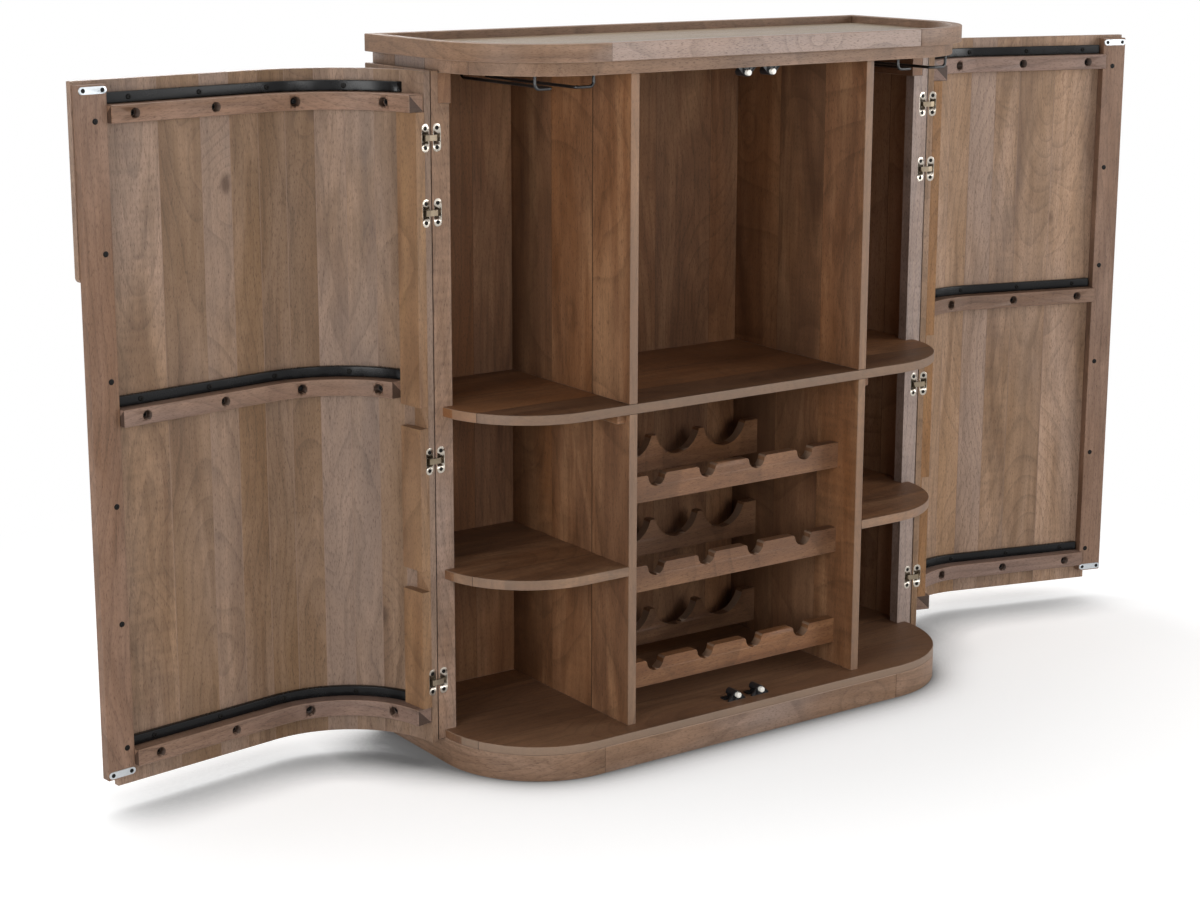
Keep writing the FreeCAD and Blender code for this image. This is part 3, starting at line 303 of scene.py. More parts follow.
finishes = {
    # Frame, rim and base: the greyest wash
    "frame_wood": washed_mango("mango_frame_washed", "#977B68", "#846956", "#6C5240", "#85613F", "#9B908C",
                               "#A08673", figure=0.25),
    # Tray: yellower, and a little glossier
    "tray_wood": washed_mango("mango_tray_washed", "#948571", "#84745F", "#6C5B48", "#86694C", "#85796B",
                              "#A8977F", roughness=0.42),
    # Door staves: the strongest streaks
    "stave_wood": washed_mango("mango_staves_washed", "#947A67", "#806753", "#654D3B", "#84633F", "#8B786D",
                               "#92796A", figure=0.27),
    # Door rails and stiles: darker, and clear of knots
    "door_rail_wood": washed_mango("mango_door_rails_stained", "#8C7160", "#7B6151", "#624939", "#805C40",
                                   "#84706A", "#947A68", figure=0.25, knots=0),
    # Battens at the hinges: warm, with little wash
    "batten_wood": washed_mango("mango_battens_stained", "#977552", "#886648", "#6B4C33", "#9E6E3C",
                                "#846B57", "#A08269"),
    # Inside: stained brown and left unwashed, so that it looks deeper and warmer than the frame
    "interior_wood": washed_mango("mango_inside_stained", "#8A674A", "#704F37", "#503524", "#825430",
                                  "#6C4F3B", "#8A7868", spread=0.2, glow=0.6, figure=0.28),
    # Powder coated steel: a glossy black skin with a slight orange peel
    "black_steel": specked("steel_powder_black", "#060607", "#0D0D0F", roughness=0.25, speck_mm=2.5,
                           relief_mm=0.04, shine=0.2),
    # Drawn wire, dipped black: smoother, and a little greyer
    "black_wire": specked("wire_dipped_black", "#0D0D0E", "#19191A", roughness=0.32, speck_mm=4,
                          relief_mm=0.03),
    # Nickel plate on pressed steel: warm, bright, a little clouded
    "nickel_steel": specked("steel_nickel_plated", "#A39B8F", "#BDB5AA", roughness=0.27, speck_mm=1.5,
                            relief_mm=0.01, metallic=1.0),
    # Zinc plate, clear passivated: cooler and whiter than nickel
    "zinc_steel": specked("steel_zinc_plated", "#AEB3B7", "#C8CCCF", roughness=0.3, speck_mm=3,
                          relief_mm=0.01, metallic=1.0),
    # Moulded ABS with a fine spark grain: soft grey glints on black
    "black_plastic": specked("abs_moulded_black", "#121214", "#1C1C1F", roughness=0.4, speck_mm=0.8,
                             relief_mm=0.03),
    # Moulded nylon: slightly yellowed
    "white_plastic": specked("nylon_moulded_white", "#E4E1D8", "#EFEDE6", roughness=0.38, speck_mm=1.2,
                             relief_mm=0.02),
}
# Hinge arms: darker and duller than the plated cups; the darker colour is painted shade standing in for the
# shade and dark reflections on them
hinge_arm_shaded_steel = specked("steel_hinge_arms_painted_shade", "#6E6250", "#8C8070", roughness=0.42, speck_mm=1.2,
                          relief_mm=0.02, metallic=1.0)
# Black oxide on screw steel: dull, with a brown cast
screw_steel = specked("steel_black_oxide", "#080706", "#141210", roughness=0.4, speck_mm=1.0,
                      relief_mm=0.01, shine=0.12)


# Grain and boards

def round_run(p):
    """Distance round the front corner, height, and depth from the outside, for pieces that follow it."""
    x = abs(p.x) / MM
    y = p.y / MM
    if x <= ARC_X:
        return Vector((x, p.z / MM, y - FRONT)) * MM
    if y >= ARC_Y:
        return Vector((ARC_X + ARC_OUT * math.pi / 2 + y - ARC_Y, p.z / MM, ARC_X + ARC_OUT - x)) * MM
    turn = math.atan2(x - ARC_X, ARC_Y - y)
    return Vector((ARC_X + ARC_OUT * turn, p.z / MM, ARC_OUT - math.hypot(x - ARC_X, y - ARC_Y))) * MM


GRAIN_RUNS = {
    "across": lambda p: Vector((p.x, p.y, p.z)),
    "deep": lambda p: Vector((p.y, p.x, p.z)),
    "upright": lambda p: Vector((p.z, p.x, p.y)),
    "round": round_run,
}
# Tone and warmth of the boards set one by one: the browner corners and base, the paler or warmer boards
# inside, and boards that carry painted light: the grey front of the rim, the top cleats, the pale right
# stile and the front deck boards paler and greyer as a painted sheen, the right side panel and right lower
# shelf paler as painted light in the right bay, and the curved staves of the left door darker as painted
# shade;
# the others are drawn by lot
CHOSEN_LOOKS_AND_LIGHT = {
    "rim_front_rail 0": (1.2, -0.32),
    "rim_corner_left 0": (-0.1, 0.1),
    "plinth_corner_left 0": (-0.2, 0.1),
    "plinth_corner_right 0": (0, 0.05),
    "plinth_front_rail 0": (-0.1, 0.05),
    "side_stile_left 0": (-0.3, 0),
    "side_stile_right 0": (1, -0.3),
    "side_panel_right 0": (1.3, 0.3),
    "side_panel_right 1": (1, 0.3),
    "side_panel_right 2": (0.9, 0.25),
    "divider_upper_left 0": (1.1, -0.05),
    "divider_upper_left 1": (0.8, 0.1),
    "divider_upper_right 0": (1, 0.05),
    "top_cleats 0": (0.8, -0.35),
    "deck_board 0": (0.5, -0.3),
    "deck_board 1": (0.2, -0.35),
    "back_panel 2": (0.9, -0.05),
    "back_panel 3": (0.6, -0.05),
    "lower_shelf_right 0": (1.6, -0.05),
    "lower_shelf_right 1": (1.4, -0.05),
    "lower_shelf_right 2": (1.2, 0),
    "door_staves_left 4 0": (-0.9, 0.2),
    "door_staves_left 5 0": (-1.1, 0.25),
    "door_staves_left 7 0": (-0.5, -0.1),
    "door_staves_left 8 0": (-0.7, 0.05),
}
# The right door's boards are drawn paler than the left one's, as painted light standing in for the brighter
# light on that door
DOOR_TONES_AND_LIGHT = {"door_staves_left": -0.2, "door_staves_right": 1.8}
# Half the width of a glue line that stands open, drawn dark as a painted shadow in its gap, of one that
# shows, and of one that is shut tight
SHADOW_GAP_LINE, PLAIN_LINE, TIGHT_LINE = 1.1, 0.55, 0.25
# How pale an eased edge is rubbed, and how dark the wall of a drilled bore is drawn: rough end grain,
# darkened further as painted shade in the hole
EASED_RUB, BORE_SHADE = 0.65, 0.95


def board_look(key):
    """A board's own place in the timber, its tone, warmth and ripple, the same on every run."""
    pick = random.Random(key)
    shift = Vector((pick.uniform(0, 5), pick.uniform(0, 2), pick.uniform(0, 2)))
    tone, warmth = CHOSEN_LOOKS_AND_LIGHT.get(key, (pick.uniform(-1, 1), pick.uniform(-0.22, 0.22)))
    tone += DOOR_TONES_AND_LIGHT.get(key.split()[0], 0)
    return shift, Vector((tone, warmth, max(0, pick.uniform(-1.2, 1))))


def give_grain(bm, key, run, back=None, axis=ACROSS_X, joints=()):
    """Writes each board's grain and look on a mesh; joints are the glue lines along an axis."""
    grain = bm.verts.layers.float_vector.new("grain")
    plank = bm.verts.layers.float_vector.new("plank")
    looks = [board_look(f"{key} {n}") for n in range(len(joints) + 1)]
    for v in bm.verts:
        p = back @ v.co if back else v.co
        shift, look = looks[sum(p[axis] > place * MM for place in joints)]
        v[grain] = GRAIN_RUNS[run](p) + shift
        v[plank] = look


def part_boards(bm, axis, joints, lines):
    """Cuts a glued-up panel at its joints and marks the glue line of each, given as half its width; a wide
    line stands for an open joint and is painted shadow.
    """
    across = Vector([n == axis for n in range(3)])
    for place, line in zip(joints, lines):
        for edge in (place - line, place + line):
            bmesh.ops.bisect_plane(bm, geom=bm.verts[:] + bm.edges[:] + bm.faces[:], dist=1e-7,
                                   plane_co=across * edge * MM, plane_no=across)
    joint_and_shade = bm.faces.layers.float.new("joint_and_shade")
    for face in bm.faces:
        middle = face.calc_center_median()[axis] / MM
        face[joint_and_shade] = float(any(abs(middle - place) < line for place, line in zip(joints, lines)))


def mark_wear_and_sheen(bm, back=None, front_painted_sheen=0):
    """Marks the eased edges of a board, which rub pale, by the slant of their faces, and paints the faces
    that look to the front paler, a painted sheen standing in for the light on them."""
    wear_and_sheen = bm.faces.layers.float.new("wear_and_sheen")
    for face in bm.faces:
        face.normal_update()
        n = back.to_3x3() @ face.normal if back else face.normal
        slanted = max(abs(n.z), math.hypot(n.x, n.y)) < 0.95
        faces_front = n.y < -0.2 and abs(n.z) < 0.8
        face[wear_and_sheen] = max(EASED_RUB * slanted, front_painted_sheen * faces_front)


def mark_bore_shade(bm, back):
    """Marks the walls of the screw bores in a curved rail, drawn dark: rough end grain from the drill,
    darkened further as painted shade in the hole.
    """
    joint_and_shade = bm.faces.layers.float.new("joint_and_shade")
    for face in bm.faces:
        depth = round_run(back @ face.calc_center_median()).z / MM
        sunk = RAIL_PLANE - BORE_DEPTH - 0.1 < depth < RAIL_PLANE - 1.5
        level = abs((back.to_3x3() @ face.normal).z) > 0.9
        face[joint_and_shade] = BORE_SHADE * (sunk and not level)


# Pieces

# Faces that meet at more than this many degrees keep a hard edge
SHARP_TURN = 32


def settle(name, bm, body, slot, replaced=(), finish=None):
    """Makes the piece's object, with its finish, its body and the nodes it stands for."""
    mesh = bpy.data.meshes.new(name)
    bm.to_mesh(mesh)
    bm.free()
    mesh.shade_smooth()
    mesh.set_sharp_from_angle(angle=math.radians(SHARP_TURN))
    mesh.materials.append(finish or finishes[slot])
    piece = bpy.data.objects.new(name, mesh)
    bpy.context.scene.collection.objects.link(piece)
    weigh = piece.modifiers.new("flat_faces_stay_flat", "WEIGHTED_NORMAL")
    weigh.keep_sharp = True
    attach(piece, body)
    if replaced:
        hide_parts(*replaced)


def copied(node):
    """The merged mesh of a built node."""
    bm = bmesh.new()
    bm.from_mesh(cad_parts[node].data)
    bmesh.ops.remove_doubles(bm, verts=bm.verts, dist=1e-6)
    return bm


def block(bm, low, high):
    """A plain block between two corners."""
    middle = (Vector(low) + Vector(high)) / 2 * MM
    size = (Vector(high) - Vector(low)) * MM
    bmesh.ops.create_cube(bm, size=1, matrix=Matrix.Translation(middle) @ Matrix.Diagonal((*size, 1)))


def thicken(bm, faces, depth):
    """Gives flat faces a thickness towards the back."""
    raised = bmesh.ops.extrude_face_region(bm, geom=faces)["geom"]
    bmesh.ops.translate(bm, verts=[v for v in raised if isinstance(v, bmesh.types.BMVert)],
                        vec=INWARD * depth * MM)


# Carcass

def dress(node, run, slot, axis=ACROSS_X, joints=(), front_painted_sheen=0, lines=None):
    """A wood piece of the carcass: the built shape with its boards, glue lines and rubbed edges, with a
    painted sheen on faces to the front and painted shadow in open joints.
    """
    bm = copied(node)
    part_boards(bm, axis, joints, lines or [PLAIN_LINE] * len(joints))
    give_grain(bm, node, run, axis=axis, joints=joints)
    mark_wear_and_sheen(bm, front_painted_sheen=front_painted_sheen)
    settle(f"{node}_wood", bm, "carcass", slot, [node])


# Where the boards of each panel are glued: distances along y, and along x for the back
SIDE_JOINTS, DIVIDER_JOINTS, LOWER_JOINTS, MID_JOINTS = (78, 141), (-55, 62), (-62, 48), (-72, 40)
DECK_JOINTS, SUB_TOP_JOINTS, TRAY_JOINTS = (-80, 30, 124), (-70, 40, 130), (-95, -5, 90)
BACK_JOINTS = (-400, -325, -110, 53, 172, 330, 420)
# The front joint of the left dividers has opened a little; its gap is drawn as a dark line of painted shadow
DIVIDER_LINES = {"left": (SHADOW_GAP_LINE, TIGHT_LINE), "right": (TIGHT_LINE, TIGHT_LINE)}
# How strongly the front faces of shelves and dividers, and the deck's, are painted paler as a sheen
EDGE_PAINTED_SHEEN, DECK_PAINTED_SHEEN = 0.5, 0.8

for node in ("plinth_front_rail", "plinth_back_rail", "rim_front_rail", "rim_back_rail"):
    dress(node, "across", "frame_wood")
dress("plinth_centre_brace", "deep", "frame_wood")
for side in SIDES:
    dress(f"plinth_corner_{side}", "round", "frame_wood")
    dress(f"rim_corner_{side}", "round", "frame_wood")
    dress(f"side_stile_{side}", "upright", "frame_wood")
    dress(f"side_panel_{side}", "upright", "frame_wood", ACROSS_Y, SIDE_JOINTS)
    for divider in (f"divider_lower_{side}", f"divider_upper_{side}"):
        dress(divider, "upright", "interior_wood", ACROSS_Y, DIVIDER_JOINTS, EDGE_PAINTED_SHEEN,
              DIVIDER_LINES[side])
    dress(f"lower_shelf_{side}", "across", "interior_wood", ACROSS_Y, LOWER_JOINTS, EDGE_PAINTED_SHEEN)
dress("deck_board", "across", "interior_wood", ACROSS_Y, DECK_JOINTS, DECK_PAINTED_SHEEN)
dress("sub_top_board", "across", "frame_wood", ACROSS_Y, SUB_TOP_JOINTS)
dress("tray_panel", "across", "tray_wood", ACROSS_Y, TRAY_JOINTS)
dress("mid_shelf", "across", "interior_wood", ACROSS_Y, MID_JOINTS, EDGE_PAINTED_SHEEN)
dress("back_panel", "upright", "interior_wood", ACROSS_X, BACK_JOINTS, lines=[TIGHT_LINE] * len(BACK_JOINTS))
for level in LEVELS:
    dress(f"neck_rail_{level}", "across", "interior_wood")
    dress(f"cradle_rail_{level}", "across", "interior_wood")
dress("shelf_cleats", "deep", "interior_wood")
dress("top_cleats", "deep", "interior_wood")


# Doors

def door_turn(side):
    """Takes a door piece drawn closed on the right to where it stands open on either side."""
    hand = SIDES[side]
    hinge = Matrix.Translation((hand * HINGE_X * MM, HINGE_Y * MM, 0))
    return (hinge @ Matrix.Rotation(math.radians(OPEN_TURN[side]), 4, "Z") @ hinge.inverted()
            @ Matrix.Scale(hand, 4, (1, 0, 0)))


def dress_door(node, run, slot, side):
    """A wood piece of a door, with its grain read as if the door were closed on the right."""
    bm = copied(node)
    back = door_turn(side).inverted()
    give_grain(bm, node, run, back)
    mark_wear_and_sheen(bm, back)
    if run == "round":
        mark_bore_shade(bm, back)
    settle(f"{node}_wood", bm, f"door_{side}", slot, [node])


def ease(bm, width):
    """Rounds every hard edge and marks the rounding as worn."""
    wear_and_sheen = bm.faces.layers.float.new("wear_and_sheen")
    hard = [e for e in bm.edges if e.calc_face_angle(0) > 1]
    rounded = bmesh.ops.bevel(bm, geom=hard, offset=width * MM, offset_type="OFFSET", affect="EDGES",
                              segments=2, profile=0.5, material=-1)
    for face in rounded["faces"]:
        face[wear_and_sheen] = 1.0


def free_stave(bm):
    """The broad stave at the free edge, stepped back low down so that a hand can pull the door."""
    outline = [(PULL_EDGE, DOOR_LOW), (STAVE_JOINTS[0], DOOR_LOW), (STAVE_JOINTS[0], DOOR_HIGH),
               (FREE_EDGE, DOOR_HIGH), (FREE_EDGE, PULL_TOP), (PULL_EDGE, PULL_TOP)]
    corners = [bm.verts.new((x * MM, FRONT * MM, z * MM)) for x, z in outline]
    bm.faces.new(corners)
    bmesh.ops.bevel(bm, geom=corners[-2:], offset=PULL_ROUND * MM, offset_type="OFFSET", affect="VERTICES",
                    segments=6, profile=0.5, material=-1)
    thicken(bm, bm.faces[:], PANEL_THICK)


def flat_stave(bm, start, end):
    """A straight stave of the flat part of the door."""
    block(bm, (start, FRONT, DOOR_LOW), (end, FRONT + PANEL_THICK, DOOR_HIGH))


def corner_stave(bm, number):
    """A stave of the round corner, its section turned about the corner's middle."""
    turn = math.radians(STAVE_TURN)
    start = turn * number
    out = Vector((math.sin(start), -math.cos(start), 0))
    middle = Vector((ARC_X, ARC_Y, 0))
    ends = [middle + out * r for r in (ARC_OUT, ARC_OUT - PANEL_THICK)]
    corners = [bm.verts.new((ends[n].x * MM, ends[n].y * MM, z * MM))
               for n, z in ((0, DOOR_LOW), (1, DOOR_LOW), (1, DOOR_HIGH), (0, DOOR_HIGH))]
    section = bm.faces.new(corners)
    bmesh.ops.spin(bm, geom=[section], cent=middle * MM, axis=UPWARD, angle=turn, steps=STAVE_STEPS)


def hinge_stave(bm, side):
    """The last stave keeps its hinge mortises: the built staves without the others."""
    back = door_turn(side).inverted()
    limit = (ARC_X + ARC_OUT * math.radians(STAVE_TURN * (CORNER_STAVES - 1))) * MM
    spare = [v for v in bm.verts if round_run(back @ v.co).x < limit]
    bmesh.ops.delete(bm, geom=spare, context="VERTS")


for side in SIDES:
    rest = door_turn(side)
    node = f"door_staves_{side}"
    staves = [free_stave]
    staves += [lambda bm, a=a, b=b: flat_stave(bm, a, b) for a, b in zip(STAVE_JOINTS, STAVE_JOINTS[1:])]
    staves += [lambda bm, n=n: corner_stave(bm, n) for n in range(CORNER_STAVES - 1)]
    for number, make in enumerate(staves):
        bm = bmesh.new()
        make(bm)
        ease(bm, STAVE_EASE)
        give_grain(bm, f"{node} {number}", "upright")
        bmesh.ops.transform(bm, matrix=rest, verts=bm.verts)
        bmesh.ops.recalc_face_normals(bm, faces=bm.faces)
        settle(f"stave_{side}_{number + 1}", bm, f"door_{side}", "stave_wood", [node])
    bm = copied(node)
    hinge_stave(bm, side)
    give_grain(bm, f"{node} hinge", "upright", rest.inverted())
    mark_wear_and_sheen(bm, rest.inverted())
    settle(f"stave_{side}_hinge", bm, f"door_{side}", "stave_wood", [node])
    dress_door(f"meeting_stile_{side}", "upright", "door_rail_wood", side)
    dress_door(f"hinge_batten_{side}", "upright", "batten_wood", side)
    for level in LEVELS:
        dress_door(f"door_rail_{level}_{side}", "round", "door_rail_wood", side)


# Hardware

def smooth_copy(node, body, slot, finish=None):
    """A metal piece: the built shape with its round faces shaded smooth."""
    settle(f"{node}_finish", copied(node), body, slot, [node], finish)


smooth_copy("stem_holders", "carcass", "black_wire")
smooth_copy("hinge_cups_stile", "carcass", "nickel_steel")
smooth_copy("hinge_pins", "carcass", "nickel_steel")
for side in SIDES:
    smooth_copy(f"hinge_links_{side}", f"hinge_links_{side}", "nickel_steel", hinge_arm_shaded_steel)
    smooth_copy(f"hinge_cups_door_{side}", f"door_{side}", "nickel_steel")
    smooth_copy(f"door_bars_{side}", f"door_{side}", "black_steel")
    smooth_copy(f"strike_plates_{side}", f"door_{side}", "zinc_steel")


def turned(outline):
    """A round piece turned about the latch axis; the outline gives radii and distances back."""
    bm = bmesh.new()
    axle = UPWARD * LATCH_AXIS * MM
    line = [bm.verts.new(axle + Vector((radius, back, 0)) * MM) for radius, back in outline]
    edges = [bm.edges.new(pair) for pair in zip(line, line[1:])]
    bmesh.ops.spin(bm, geom=line + edges, cent=axle, axis=INWARD, angle=2 * math.pi, steps=LATCH_STEPS,
                   use_merge=True)
    bmesh.ops.remove_doubles(bm, verts=bm.verts, dist=1e-6)
    return bm


def latch_rib(bm, hand):
    """The rib beside the front of a latch barrel, three-cornered, with a raised rim round a hollow."""
    corners = [bm.verts.new(Vector((hand * x, RIB_FRONT, z)) * MM) for x, z in LATCH_RIB]
    front = bm.faces.new(corners)
    thicken(bm, [front], RIB_THICK)
    for inset in (RIB_RIM, RIB_DRAFT):
        bmesh.ops.inset_region(bm, faces=[front], thickness=inset * MM)
    bmesh.ops.translate(bm, verts=front.verts, vec=INWARD * RIB_HOLLOW * MM)


for level, (seat, up) in LATCH_SEATS.items():
    for side, hand in SIDES.items():
        barrel = turned(LATCH_BARREL)
        block(barrel, *LATCH_WEB)
        block(barrel, *LATCH_FOOT)
        latch_rib(barrel, -1)
        latch_rib(barrel, 1)
        tip = turned(LATCH_TIP)
        place = (Matrix.Translation(Vector((hand * LATCH_X, LATCH_FRONT, seat)) * MM)
                 @ Matrix.Scale(up, 4, UPWARD))
        for bm in (barrel, tip):
            bmesh.ops.transform(bm, matrix=place, verts=bm.verts)
            bmesh.ops.recalc_face_normals(bm, faces=bm.faces)
        node = f"latch_tip_{level}_{side}"
        settle(f"latch_{level}_{side}_finish", barrel, "carcass", "black_plastic", ["latch_barrels"])
        settle(f"{node}_finish", tip, node, "white_plastic", [node])


# Screws

def screw_head(bm, place, out, radius, height):
    """A domed screw head with a driver recess; place is where it meets the surface."""
    turn = UPWARD.rotation_difference(Vector(out)).to_matrix().to_4x4()
    matrix = Matrix.Translation(Vector(place) * MM) @ turn
    rim = bmesh.ops.create_circle(bm, cap_ends=True, segments=HEAD_STEPS, radius=radius * MM, matrix=matrix)
    cap = rim["verts"][0].link_faces[0]
    raised = bmesh.ops.extrude_face_region(bm, geom=[cap])
    top = [g for g in raised["geom"] if isinstance(g, bmesh.types.BMFace)]
    bmesh.ops.translate(bm, verts=top[0].verts, vec=turn.to_3x3() @ UPWARD * height * HEAD_RIM * MM)
    for inset, rise in ((HEAD_DOME, 1 - HEAD_RIM), (HEAD_FLAT, 0), (HEAD_SLOPE, -HEAD_RECESS)):
        bmesh.ops.inset_region(bm, faces=top, thickness=radius * inset * MM, depth=height * rise * MM)


def screws(name, spots, body, head, rest=None):
    """A set of like screws on one body; each spot is a place and the way it faces."""
    bm = bmesh.new()
    for place, out in spots:
        screw_head(bm, place, out, *head)
    if rest:
        bmesh.ops.transform(bm, matrix=rest, verts=bm.verts)
    bmesh.ops.recalc_face_normals(bm, faces=bm.faces)
    settle(name, bm, body, "black_steel", finish=screw_steel)


def round_place(run, height, depth, face):
    """The point and inward direction at a distance along a face of the closed door, a height and a depth."""
    if run <= ARC_X:
        return Vector((run, FRONT + depth, height)), INWARD
    turn = (run - ARC_X) / (ARC_OUT - face)
    out = Vector((math.sin(turn), -math.cos(turn), 0))
    return Vector((ARC_X, ARC_Y, height)) + out * (ARC_OUT - depth), -out


def rail_spots(foot):
    """The screws at the bottom of a rail's bores; on the middle rail the last stands back from the end."""
    middle_rail = foot == RAIL_HEIGHTS[1]
    for n in range(BORES):
        back = LAST_BORE_BACK if middle_rail and n == BORES - 1 else 0
        yield round_place(BORE_FIRST + BORE_STEP * n - back, foot + RAIL_TALL / 2, RAIL_PLANE - BORE_DEPTH,
                          RAIL_PLANE)


def bar_spots(foot):
    """The screws of the steel bar above a rail."""
    for n in range(BORES):
        yield round_place(BAR_SCREW_FIRST + BAR_SCREW_STEP * n, foot + RAIL_TALL + BAR_LIFT + BAR_TALL / 2,
                          BAR_PLANE, BAR_PLANE)


for side, hand in SIDES.items():
    rest = door_turn(side)
    body = f"door_{side}"
    leaf_heights = [z + d for z in HINGE_HEIGHTS for d in (-LEAF_REACH, LEAF_REACH)]
    on_stile = [((x, FRONT + STILE_PLANE, z), INWARD) for x, z in STILE_SCREWS]
    in_rails = [spot for foot in RAIL_HEIGHTS for spot in rail_spots(foot)]
    on_bars = [spot for foot in RAIL_HEIGHTS for spot in bar_spots(foot)]
    on_plates = [((PLATE_X + d, FRONT + STILE_PLANE + PLATE_THICK, z), INWARD)
                 for z in PLATE_HEIGHTS for d in (-PLATE_REACH, PLATE_REACH)]
    on_door_leaves = [((LEAF_X, DOOR_EDGE, z), INWARD) for z in leaf_heights]
    on_stile_leaves = [((hand * LEAF_X, STILE_EDGE, z), -INWARD) for z in leaf_heights]
    screws(f"stile_screws_{side}", on_stile, body, STILE_HEAD, rest)
    screws(f"rail_screws_{side}", in_rails, body, RAIL_HEAD, rest)
    screws(f"bar_screws_{side}", on_bars, body, BAR_HEAD, rest)
    screws(f"strike_screws_{side}", on_plates, body, PLATE_HEAD, rest)
    screws(f"hinge_screws_door_{side}", on_door_leaves, body, LEAF_HEAD, rest)
    screws(f"hinge_screws_stile_{side}", on_stile_leaves, "carcass", LEAF_HEAD)


# Studio, in metres
FLOOR_RADIUS, FADE_START, FADE_END = 60, 0.8, 1.8
# Reach in metres and darkest share of the painted shade on the floor by the cabinet, and the lift of the
# floor's white
PAINTED_SHADE_REACH, PAINTED_SHADE_DARKEST, FLOOR_LIFT = 0.14, 0.15, 0.42
SKY_LIGHT = 0.16
AIM = (0, 0, 0.6)


def seen(tree):
    """One for rays from the eye, straight, mirrored or through glass, and nought for light."""
    path = add(tree, "LightPath").outputs
    either = add(tree, "Math", {0: path["Is Camera Ray"], 1: path["Is Glossy Ray"]}, operation="MAXIMUM")
    any_ray = add(tree, "Math", {0: either.outputs[0], 1: path["Is Transmission Ray"]}, operation="MAXIMUM")
    return any_ray.outputs[0]


def floor_white_with_painted_shade():
    """Matt white floor, painted darker close under the base by ambient occlusion as painted shade, that runs
    out to the white of the background.
    """
    made, tree, out = blank("floor_matt_white_painted_shade")
    eye = seen(tree)
    place = add(tree, "TexCoord").outputs["Object"]
    reach = add(tree, "VectorMath", {0: place}, operation="LENGTH")
    fade = add(tree, "MapRange", {"Value": reach.outputs["Value"], "From Min": FADE_START,
                                  "From Max": FADE_END}, interpolation_type="SMOOTHSTEP")
    share = add(tree, "Math", {0: fade.outputs[0], 1: eye}, operation="MULTIPLY")
    # Painted shade: the floor's white and its lift darken where the cabinet stands close, by ambient
    # occlusion
    floor_painted_shade = add(tree, "AmbientOcclusion", {"Distance": PAINTED_SHADE_REACH}, samples=16)
    unshaded_share = add(tree, "MapRange", {"Value": floor_painted_shade.outputs["AO"], "From Min": 0.5, "From Max": 0.95,
                                        "To Min": PAINTED_SHADE_DARKEST, "To Max": 1})
    lift = add(tree, "Math", {0: eye, 1: FLOOR_LIFT}, operation="MULTIPLY")
    open_lift = add(tree, "Math", {0: lift.outputs[0], 1: unshaded_share.outputs[0]}, operation="MULTIPLY")
    tone = add(tree, "MixRGB", {"Fac": unshaded_share.outputs[0], "Color1": BLACK, "Color2": FLOOR_WHITE})
    matt = add(tree, "BsdfDiffuse", {"Color": tone.outputs["Color"]})
    haze = add(tree, "Emission", {"Color": WHITE, "Strength": open_lift.outputs[0]})
    near = add(tree, "AddShader", {0: matt.outputs[0], 1: haze.outputs[0]})
    far = add(tree, "Emission", {"Color": WHITE, "Strength": 1})
    both = add(tree, "MixShader", {0: share.outputs[0], 1: near.outputs[0], 2: far.outputs[0]})
    tree.links.new(both.outputs[0], out.inputs["Surface"])
    return made


def studio_floor():
    """A pale round floor that keeps the lamps' shadow near the cabinet, deepened there with painted shade.
    """
    bm = bmesh.new()
    bmesh.ops.create_circle(bm, cap_ends=True, segments=64, radius=FLOOR_RADIUS)
    mesh = bpy.data.meshes.new("floor")
    bm.to_mesh(mesh)
    bm.free()
    mesh.materials.append(floor_white_with_painted_shade())
    floor = bpy.data.objects.new("floor", mesh)
    bpy.context.scene.collection.objects.link(floor)


def studio_sky():
    """White to the eye and in reflections, a softer grey as light."""
    world = bpy.data.worlds.new("studio")
    world.use_nodes = True
    tree = world.node_tree
    tree.nodes.clear()
    soft = add(tree, "Background", {"Color": WHITE, "Strength": SKY_LIGHT})
    white = add(tree, "Background", {"Color": WHITE, "Strength": 1})
    both = add(tree, "MixShader", {0: seen(tree), 1: soft.outputs[0], 2: white.outputs[0]})
    add(tree, "OutputWorld", {"Surface": both.outputs[0]})
    bpy.context.scene.world = world


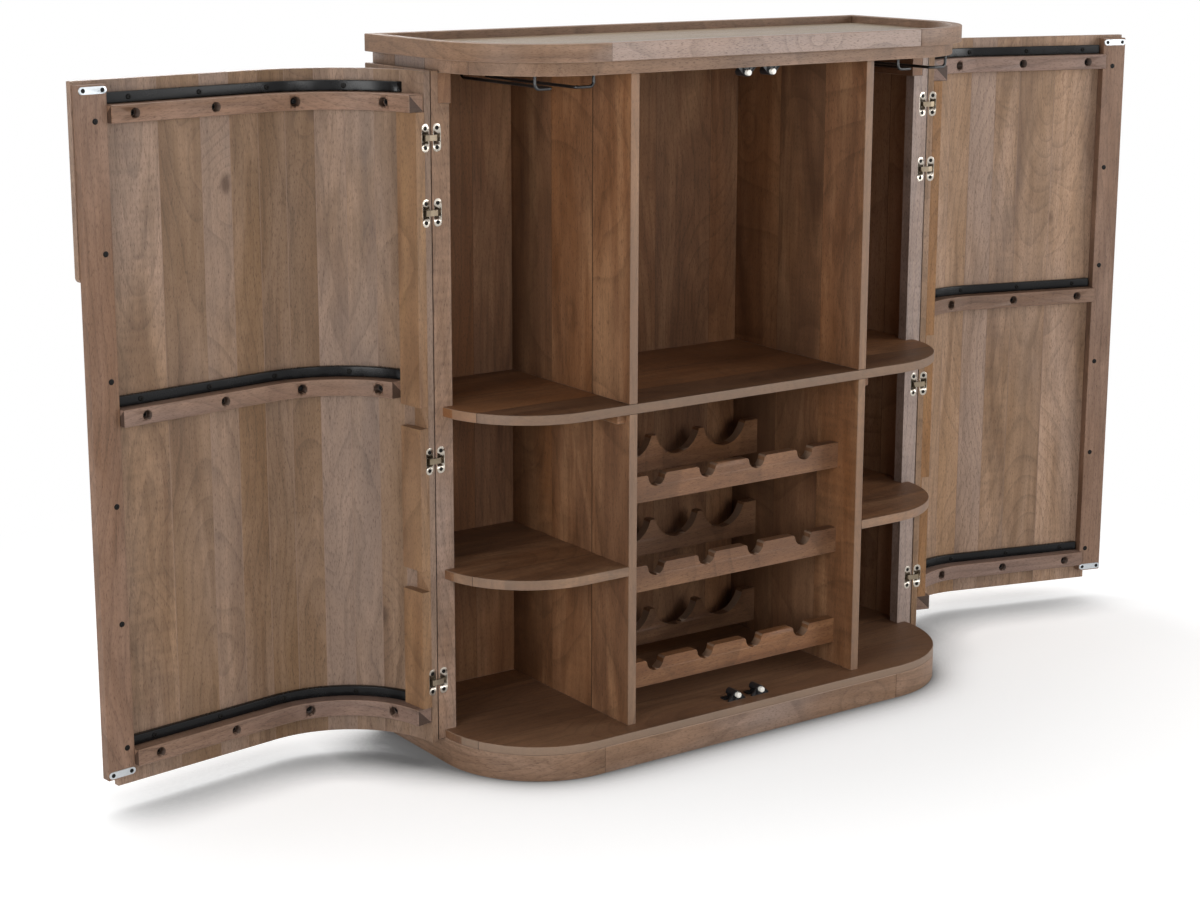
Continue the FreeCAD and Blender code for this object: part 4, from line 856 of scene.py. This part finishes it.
def softbox(name, place, aim, width, height, watts):
    """A large soft lamp that faces a point."""
    lamp = bpy.data.lights.new(name, "AREA")
    lamp.shape = "RECTANGLE"
    lamp.size = width
    lamp.size_y = height
    lamp.energy = watts
    holder = bpy.data.objects.new(name, lamp)
    bpy.context.scene.collection.objects.link(holder)
    holder.location = place
    holder.rotation_euler = (Vector(aim) - Vector(place)).to_track_quat("-Z", "Y").to_euler()


# The photograph's camera: its place, its heading, dip and tilt in degrees, and its focal length in pixels
CAMERA_PLACE = (-2.3614, -3.0739, 1.3964)
CAMERA_TURN = (35.186, 12.478, 0.151)
FOCAL_PIXELS, PHOTO_WIDTH, SENSOR_WIDTH, LENS_SHIFT = 2327.9, 1200, 36, -0.04


def camera():
    """Looks at the cabinet from where the photograph was taken."""
    heading, dip, tilt = (math.radians(d) for d in CAMERA_TURN)
    ahead = Vector((math.sin(heading) * math.cos(dip), math.cos(heading) * math.cos(dip), -math.sin(dip)))
    level = Vector((math.cos(heading), -math.sin(heading), 0))
    upright = level.cross(ahead)
    right = level * math.cos(tilt) + upright * math.sin(tilt)
    up = upright * math.cos(tilt) - level * math.sin(tilt)
    lens = bpy.data.cameras.new("camera")
    lens.sensor_width = SENSOR_WIDTH
    lens.lens = SENSOR_WIDTH * FOCAL_PIXELS / PHOTO_WIDTH
    lens.shift_y = LENS_SHIFT
    holder = bpy.data.objects.new("camera", lens)
    bpy.context.scene.collection.objects.link(holder)
    turn = Matrix((right, up, -ahead)).transposed()
    holder.matrix_world = Matrix.Translation(CAMERA_PLACE) @ turn.to_4x4()
    bpy.context.scene.camera = holder


studio_floor()
studio_sky()
softbox("key_softbox", (-4.1, -1.7, 1.1), AIM, 2.0, 1.8, 96)
softbox("front_softbox", (-0.9, -4.6, 1.5), AIM, 1.6, 1.4, 56)
softbox("fill_softbox", (3.3, -3.0, 1.5), AIM, 2.0, 2.0, 94)
softbox("overhead_softbox", (-0.4, 0.8, 3.2), (0, -0.1, 0), 2.2, 1.8, 42)
softbox("back_softbox", (0.8, 4.6, 1.6), AIM, 2.2, 2.0, 110)
camera()
bpy.context.scene.view_settings.view_transform = "Standard"
